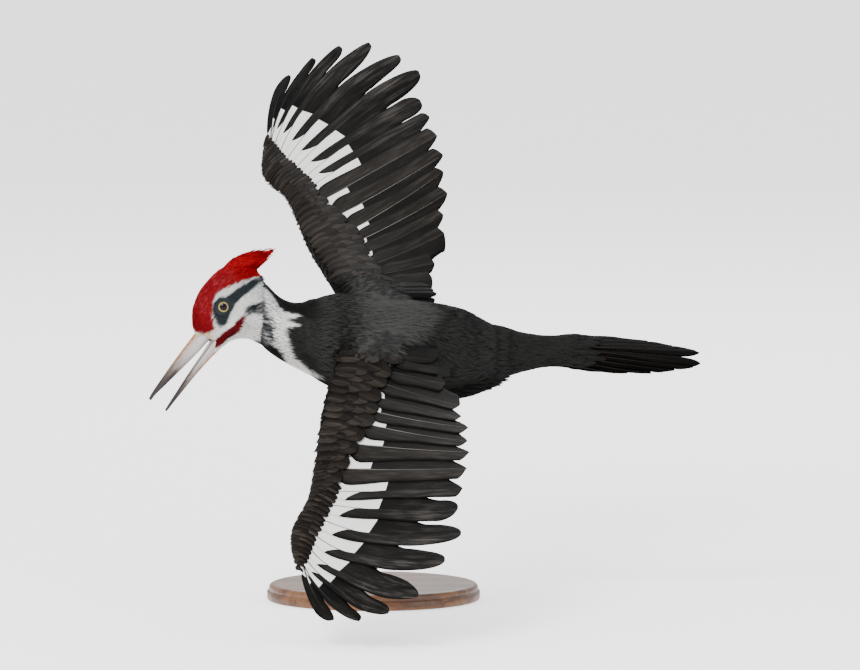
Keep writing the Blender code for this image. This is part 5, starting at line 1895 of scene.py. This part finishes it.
def eye_lids(side):
    """Ring of bare skin round the eye: a fine rim, a fold and a skirt that sinks under the feathers."""
    size, count = LID_SEGMENTS, len(LID_PROFILE)
    k = np.arange(size)
    angle = 2 * np.pi * k / size
    stretch = 1 + 0.06 * np.cos(2 * angle) + 0.05 * np.exp(-((angle - np.pi) / 0.35) ** 2)
    rings = []
    for radius, height in LID_PROFILE:
        blend = ramp(radius, 4.1, 4.8)
        reach = radius * (1 + (stretch - 1) * (0.4 + 0.6 * blend))
        rings.append(beside_head(reach, height + 0.05 * np.sin(angle * 17) * blend, angle))
    last, after = (count - 1) * size, (k + 1) % size
    closing = np.column_stack([last + k, last + after, after, k])
    points = from_head(np.concatenate(rings) * (1, side, 1))
    shape = Shape(points, np.concatenate([grid_faces(count, size, True), closing]))
    a, b, c, d = (shape.points[shape.faces[:, n]] for n in range(4))
    outward = from_head((0, side * 30, 0)) - from_head((0, 0, 0))
    normal = np.cross(c - a, d - b)[size * 3:size * 4]     # of the fold, which faces outwards
    if (normal @ outward).sum() < 0:
        shape.faces = shape.faces[:, ::-1].copy()
        shape.bake_faces = shape.faces
    return shape


# ---------------------------------------------------------------- feet and stand
FOOT_DETAIL = 0.5 * MM
FOOT_SMOOTHING = 8


def claw_shape(path):
    """Hooked claw that goes on from a toe's last joint."""
    ahead = unit(path[-1] - path[-2])
    across = unit(np.cross(ahead, (0, 0, 1)))
    root = path[-1] + ahead * CLAW_GAP
    points, radii = [], []
    for t in np.linspace(0, 1, 18):
        bend = np.array(Matrix.Rotation(math.radians(-CLAW_HOOK_DEG * t), 3, Vector(across)))
        points.append(root + bend @ ahead * CLAW_LENGTH * t)
        radii.append(CLAW_RADIUS * (1 - t) + 0.18)
    shape = tube(points, radii, 14)
    shape.values["along"] = np.concatenate([np.repeat(np.linspace(0, 1, 18), 14), [0, 1]])
    return shape


def turned(profile, segments=128):
    """Lathe work round the stand's axis: profile is (radius, height), from the lowest ring up."""
    rings = []
    for radius, height in profile:
        rings.append(superellipse((0, 0, height), (radius, 0, 0), (0, radius, 0), segments))
    return loft(rings)


def from_stand(points):
    """From the stand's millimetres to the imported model's frame."""
    return np.asarray(points) * MM


# ---------------------------------------------------------------- operators
def show(obj, slot, *nodes):
    """Hangs a finished piece under the root's empty and hides the imported parts that it replaces."""
    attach(obj, "root")
    if nodes:
        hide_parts(*nodes)
    return obj


class WOODPECKER_OT_skin(bpy.types.Operator):
    """One skin over trunk, neck, head, arms and thighs, with the markings and lie of the coat"""
    bl_idname = "woodpecker.skin"
    bl_label = "Skin"

    def execute(self, context):
        scene = context.scene
        shapes = flesh_shapes()
        names = list(shapes)
        rough = Shape.joined(list(shapes.values())).build("skin_rough")
        skin = grown_together(rough, "skin", scene.woodpecker_coat.skin_detail, SKIN_SMOOTHING)
        points = to_bird(read_points(skin.data))
        head = to_head(points)
        weights = region_weights(points, shapes)
        sizes = feather_sizes(points, head, weights, names)
        lie = lie_of_coat(points, head, weights, names)
        shown_at = to_head(points + lie * sizes[:, 1:2] * SHOWN_SHARE)
        colour = plumage_of(points, shown_at, weights, names, scene.woodpecker_colours)
        sizes = sizes * (MM, MM, math.radians(1))
        owner = weights.argmax(axis=1).astype(float)
        lie = lie @ BIRD_TURN.T
        slope = (lie * read_points(skin.data, "vertex_normals", "vector")).sum(axis=1)
        winged = np.array([name.startswith("wing") for name in names])[weights.argmax(axis=1)]
        set_values(skin.data, plumage=opaque(colour), lie=lie, feather=sizes,
                   cover=cover_of_coat(head, slope, winged), part=owner)
        skin.data.materials.clear()
        skin.data.materials.append(made("skin", skin_material))
        scene["woodpecker_parts"] = names
        show(skin, "plumage_black", "trunk", "rump", "neck", "head", "crest", "wing_arm_left",
             "wing_arm_right", "wing_hand_left", "wing_hand_right", "thigh_left", "thigh_right")
        return {"FINISHED"}


class WOODPECKER_OT_coat(bpy.types.Operator):
    """Small feathers over the whole skin, grown patch by patch"""
    bl_idname = "woodpecker.coat"
    bl_label = "Coat"

    def execute(self, context):
        scene = context.scene
        settings = scene.woodpecker_coat
        skin = bpy.data.objects["skin"]
        names = list(scene["woodpecker_parts"])
        points = to_bird(read_points(skin.data))
        head = to_head(points)
        (x, y, z), (hx, _, hz) = points.T, head.T
        part = get_values(skin.data, "part", 1).astype(int)
        part = np.array([name.split("_")[0] for name in names])[part]
        span = np.abs(y)
        above_wing = z > wing_point(x, span)[:, 2]
        share = chord_share(x, span)
        upper = z > 0
        on_arm, on_hand = SMALL_COVERTS_END
        upper_small = (span > WING_COAT_SPAN) & (share < np.where(span > WRIST_SPAN + 6, on_hand, on_arm))
        root_of_wing = (part == "wing") & above_wing & (span < BACK_COAT_SPAN)
        lined = ~above_wing & (share > LINING_SHARES[0]) & (share < LINING_SHARES[1])
        group = coat_tree()
        vanes = vane_templates()
        face = (part == "head") & (hx > FACE_START_X) & (hz < FACE_END_Z)
        over_back = round_axis((0, 0, 0), (1, 0, 0), (0, 0, 1))
        under_belly = round_axis((0, 0, 0), (1, 0, 0), (0, 0, -1))
        over_neck = round_axis(from_head((-10, 0, -30)), (0.9, 0, 0.35), (0, 0, 1))
        over_head = round_axis(from_head((0, 0, -4)), HEAD_TURN[:, 0], HEAD_TURN[:, 2])
        pieces = (                 # name, where it roots, vane, spacing in mm, unwrap, slot
            ("mantle", ((part == "trunk") & upper) | root_of_wing, "soft", 1.5, over_back, "plumage_black"),
            ("belly", (part == "trunk") & ~upper, "soft", 1.9, under_belly, "plumage_black"),
            ("rump", (part == "rump") & (x > RUMP_COAT_END_X), "soft", 1.4, over_back, "plumage_black"),
            ("neck", part == "neck", "fine", 0.72, over_neck, "plumage_white"),
            ("head", (part == "head") & ~face, "fine", 0.72, over_head, "plumage_red"),
            ("face", face, "fine", 0.56, over_head, "plumage_white"),
            ("crest", part == "crest", "lock", 0.72, over_head, "plumage_red"),
            ("thighs", part == "thigh", "soft", 1.6, under_belly, "plumage_black"),
        )
        for number, (name, chosen, vane, spacing, places, slot) in enumerate(pieces):
            patch = patch_object(skin, f"coat_{name}", chosen, places)
            uneven = CREST_UNEVENNESS if name == "crest" else 1.0
            show(grow_coat(patch, group, vanes[vane], spacing, number, settings, uneven), slot)
        for number, (side, label) in enumerate(SIDES):
            mine = (part == "wing") & (y * side > 0)
            small = patch_object(skin, f"coat_wing_{label}", mine & above_wing & upper_small, plan_places)
            small = grow_coat(small, group, vanes["scale"], WING_SPACING, 20 + number, settings,
                              uneven=WING_UNEVENNESS)
            small.data.set_sharp_from_angle(angle=FLAT_ANGLE)
            show(small, "plumage_black")
            lining = patch_object(skin, f"coat_lining_{label}", mine & lined, plan_places)
            lining = grow_coat(lining, group, vanes["contour"], LINING_SPACING, 30 + number, settings,
                               length=LINING_LENGTH)
            show(lining, "plumage_white")
        for vane in vanes.values():
            discard(vane)
        return {"FINISHED"}


class WOODPECKER_OT_coverts(bpy.types.Operator):
    """Rows of coverts over and under both wings, and the loose feathers behind their roots"""
    bl_idname = "woodpecker.coverts"
    bl_label = "Coverts"

    def execute(self, context):
        colours = context.scene.woodpecker_colours
        seed = context.scene.woodpecker_wing.seed
        for side, label in SIDES:
            for under in (False, True):
                rng = np.random.default_rng(seed + 10 * under)
                rows = (COVERT_ROWS[0], COVERT_ROWS[1], HAND_ROWS[0]) if under else COVERT_ROWS + HAND_ROWS
                cells = sum(row[4] for row in rows) + len(TERTIALS)
                shapes = []
                for row in rows:
                    shapes += covert_row(row, side, under, colours, rng, len(shapes), cells)
                if not under:
                    shapes += tertials(side, colours, rng, len(shapes), cells)
                name = f"under_coverts_{label}" if under else f"coverts_{label}"
                piece = Shape.joined(shapes).build(name, wing_vanes())
                piece.data.set_sharp_from_angle(angle=FLAT_ANGLE)
                show(piece, "plumage_white" if under else "plumage_black")
        return {"FINISHED"}


class WOODPECKER_OT_flight_feathers(bpy.types.Operator):
    """Primaries and secondaries of both wings, one by one"""
    bl_idname = "woodpecker.flight_feathers"
    bl_label = "Flight feathers"

    def execute(self, context):
        colours, settings = context.scene.woodpecker_colours, context.scene.woodpecker_wing
        numbers = range(len(REMEX_REACH))
        groups = (("primaries", numbers[:PRIMARY_COUNT]), ("secondaries", numbers[PRIMARY_COUNT:]))
        for side, label in SIDES:
            for group, members in groups:
                shape = wing_feathers(members, side, colours, settings)
                piece = shape.build(f"{group}_{label}", wing_vanes())
                show(piece, "flight_feather", f"wing_{group}_{label}")
        return {"FINISHED"}


class WOODPECKER_OT_tail(bpy.types.Operator):
    """Ten stiff tail feathers closed to a wedge"""
    bl_idname = "woodpecker.tail"
    bl_label = "Tail"

    def execute(self, context):
        colours, settings = context.scene.woodpecker_colours, context.scene.woodpecker_wing
        feathers = [tail_feather(i, colours, settings) for i in range(2 * len(RECTRIX_TIPS))]
        piece = Shape.joined(feathers).build("tail_fan", tail_vanes())
        show(piece, "flight_feather", "tail_feathers")
        rng = np.random.default_rng(settings.seed)
        count = len(TAIL_COVERTS)
        soft = [tail_covert(k, under, colours, rng) for under in (False, True) for k in range(count)]
        show(Shape.joined(soft).build("tail_coverts", tail_vanes()), "plumage_black")
        return {"FINISHED"}


class WOODPECKER_OT_bill(bpy.types.Operator):
    """Upper and lower mandible with the skin of the gape"""
    bl_idname = "woodpecker.bill"
    bl_label = "Bill"

    def execute(self, context):
        horn = made("bill_horn", bill_material, context.scene.woodpecker_colours)
        show(mandible(BILL_UPPER, True).build("mandible_upper", horn), "bill_horn", "bill_upper")
        show(mandible(BILL_LOWER, False).build("mandible_lower", horn), "bill_horn", "bill_lower")
        show(gape_skin().build("gape_skin", made("mouth_lining", mouth_material)), "bill_horn")
        return {"FINISHED"}


class WOODPECKER_OT_eyes(bpy.types.Operator):
    """Glossy eyes with their rings of bare skin"""
    bl_idname = "woodpecker.eyes"
    bl_label = "Eyes"

    def execute(self, context):
        colours = context.scene.woodpecker_colours
        for side, label in SIDES:
            ball = eye_ball(side).build(f"eyeball_{label}", made("eye_gloss", eye_material, colours))
            show(ball, "eye", f"eye_{label}")
            lids = eye_lids(side).build(f"eyelids_{label}", made("orbital_skin", lid_material))
            show(lids, "plumage_black")
        return {"FINISHED"}


class WOODPECKER_OT_feet(bpy.types.Operator):
    """Scaled feet and horn claws"""
    bl_idname = "woodpecker.feet"
    bl_label = "Feet"

    def execute(self, context):
        colours = context.scene.woodpecker_colours
        for side, label in SIDES:
            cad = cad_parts[f"foot_{label}"]
            rough = new_object("foot_rough", cad.data.copy())
            bm = bmesh.new()
            bm.from_mesh(rough.data)
            bmesh.ops.remove_doubles(bm, verts=bm.verts, dist=1e-6)
            bm.to_mesh(rough.data)
            bm.free()
            foot = grown_together(rough, f"scaled_foot_{label}", FOOT_DETAIL, FOOT_SMOOTHING)
            foot.data.materials.clear()
            foot.data.materials.append(made("leg_scales", scale_material, colours))
            show(foot, "leg_scale", f"foot_{label}")
            shapes = []
            for _, joints in TOES:
                path = np.array([PALM_AT, *joints])
                shapes.append(claw_shape(path).mirrored(side))
            claws = Shape.joined(shapes).build(f"claws_{label}", made("claw_horn", claw_material))
            show(claws, "claw", *(f"claw_{toe}_{label}" for toe, _ in TOES))
        return {"FINISHED"}


class WOODPECKER_OT_stand(bpy.types.Operator):
    """Turned wooden base, steel collar and rod"""
    bl_idname = "woodpecker.stand"
    bl_label = "Stand"

    def execute(self, context):
        colours = context.scene.woodpecker_colours
        edge = BASE_RADIUS
        quarter = math.pi / 2
        rim = [(edge - 2 + 2 * math.sin(a), 2 - 2 * math.cos(a)) for a in np.linspace(0, quarter, 7)]
        cove = [(edge, 6.2), (edge - 0.5, 6.7), (edge - 1.3, 7.0), (edge - 1.6, 7.6), (edge - 1.4, 8.2)]
        top = [(edge - 4.6 + 3.2 * math.cos(a), 8.8 + 3.2 * math.sin(a)) for a in np.linspace(0, quarter, 9)]
        disc = [(5.0, 0), (edge * 0.6, 0), *rim, *cove, *top, (edge * 0.5, BASE_HEIGHT), (5.0, BASE_HEIGHT)]
        base = turned(disc).build("stand_base_wood", made("stand_wood", wood_material, colours), from_stand)
        show(base, "stand_wood", "stand_base")
        low = BASE_HEIGHT + STAND_GAP
        high = low + COLLAR_HEIGHT
        edge = COLLAR_RADIUS
        steps = [(2.0, low), (edge - 0.6, low), (edge, low + 0.6), (edge, low + 2.2),
                 (edge - 1.2, low + 3.0), (edge - 3.0, high - 0.8), (edge - 3.6, high), (2.0, high)]
        steel = made("stand_steel", steel_material)
        show(turned(steps, 64).build("stand_collar_steel", steel, from_stand), "stand_steel", "stand_collar")
        foot = high + STAND_GAP
        top_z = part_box("stand_rod")[1].z / MM
        edge = ROD_RADIUS
        rod = [(edge * 0.5, foot), (edge, foot + 0.2), (edge, top_z - 0.3), (edge * 0.5, top_z)]
        show(turned(rod, 48).build("stand_rod_steel", steel, from_stand), "stand_steel", "stand_rod")
        return {"FINISHED"}


# ---------------------------------------------------------------- stage
SKY_COLOUR = (0.985, 0.99, 1.0, 1.0)
SKY_STRENGTH = 1.15
LIGHTS = (                     # name, place from the trunk's middle, size, watts, colour
    ("key", (-1.3, -1.7, 1.9), 1.1, 95.0, (1.0, 0.99, 0.975)),
    ("fill", (1.9, -1.5, 0.7), 1.6, 20.0, (0.97, 0.98, 1.0)),
    ("rim", (0.5, 1.9, 1.6), 1.3, 40.0, (1.0, 1.0, 1.0)),
)
SENSOR_WIDTH = 36.0
CLIP_END = 200.0


def area_light(name, place, aim, size, power, colour):
    """Square light at a place, turned to its aim."""
    light = bpy.data.lights.new(name, "AREA")
    light.shape, light.size, light.energy, light.color = "SQUARE", size, power, colour
    obj = new_object(name, light)
    obj.location = place
    obj.rotation_euler = (aim - place).to_track_quat("-Z", "Y").to_euler()


class WOODPECKER_OT_stage(bpy.types.Operator):
    """Pale floor, soft studio light and the camera"""
    bl_idname = "woodpecker.stage"
    bl_label = "Stage"

    def execute(self, context):
        scene, settings = context.scene, context.scene.woodpecker_stage
        half = settings.floor_size / 2
        mesh = bpy.data.meshes.new("studio_floor")
        corners = [(-half, -half, 0), (half, -half, 0), (half, half, 0), (-half, half, 0)]
        mesh.from_pydata(corners, [], [(0, 1, 2, 3)])
        mesh.materials.append(made("studio_floor", floor_material))
        new_object("studio_floor", mesh)

        world = bpy.data.worlds.new("pale_studio")
        world.use_nodes = True
        sky = world.node_tree.nodes["Background"]
        sky.inputs["Color"].default_value = SKY_COLOUR
        sky.inputs["Strength"].default_value = SKY_STRENGTH
        scene.world = world

        middle = Vector(BIRD_AT) * MM
        for name, offset, size, power, colour in LIGHTS:
            area_light(name, middle + Vector(offset), middle, size, power, colour)

        a, e = settings.azimuth, settings.elevation
        towards = Vector((math.sin(a) * math.cos(e), -math.cos(a) * math.cos(e), math.sin(e)))
        right = (-towards).cross(Vector((0, 0, 1))).normalized()
        above = right.cross(-towards)
        aim = middle + right * settings.shift_right + above * settings.shift_up
        camera = new_object("camera", bpy.data.cameras.new("camera"))
        camera.data.sensor_width = SENSOR_WIDTH
        camera.data.lens = camera.data.sensor_width * settings.distance / settings.width
        camera.data.clip_end = CLIP_END
        camera.location = aim + towards * settings.distance
        camera.rotation_euler = (-towards).to_track_quat("-Z", "Y").to_euler()
        scene.camera = camera
        return {"FINISHED"}


OPERATORS = (
    WOODPECKER_OT_skin, WOODPECKER_OT_coat, WOODPECKER_OT_coverts, WOODPECKER_OT_flight_feathers,
    WOODPECKER_OT_tail, WOODPECKER_OT_bill, WOODPECKER_OT_eyes, WOODPECKER_OT_feet, WOODPECKER_OT_stand,
    WOODPECKER_OT_stage,
)


class WOODPECKER_PT_panel(bpy.types.Panel):
    """Lists the woodpecker's pieces and their settings"""
    bl_label = "Pileated Woodpecker"
    bl_idname = "WOODPECKER_PT_panel"
    bl_space_type = "VIEW_3D"
    bl_region_type = "UI"
    bl_category = "Woodpecker"

    def draw(self, context):
        for operator in OPERATORS:
            self.layout.operator(operator.bl_idname)
        for name in SETTINGS:
            box = self.layout.box()
            group = getattr(context.scene, name)
            for key in group.bl_rna.properties.keys():
                if key not in ("rna_type", "name"):
                    box.prop(group, key)


SETTINGS = {
    "woodpecker_colours": WoodpeckerColours, "woodpecker_coat": WoodpeckerCoat,
    "woodpecker_wing": WoodpeckerWing, "woodpecker_stage": WoodpeckerStage,
}


def register():
    for cls in (*SETTINGS.values(), *OPERATORS, WOODPECKER_PT_panel):
        bpy.utils.register_class(cls)
    for name, cls in SETTINGS.items():
        setattr(bpy.types.Scene, name, PointerProperty(type=cls))


def unregister():
    for name in SETTINGS:
        delattr(bpy.types.Scene, name)
    for cls in (WOODPECKER_PT_panel, *reversed(OPERATORS), *SETTINGS.values()):
        bpy.utils.unregister_class(cls)


def main():
    register()
    for operator in OPERATORS:
        group, name = operator.bl_idname.split(".")
        getattr(getattr(bpy.ops, group), name)()


if __name__ == "__main__":
    main()
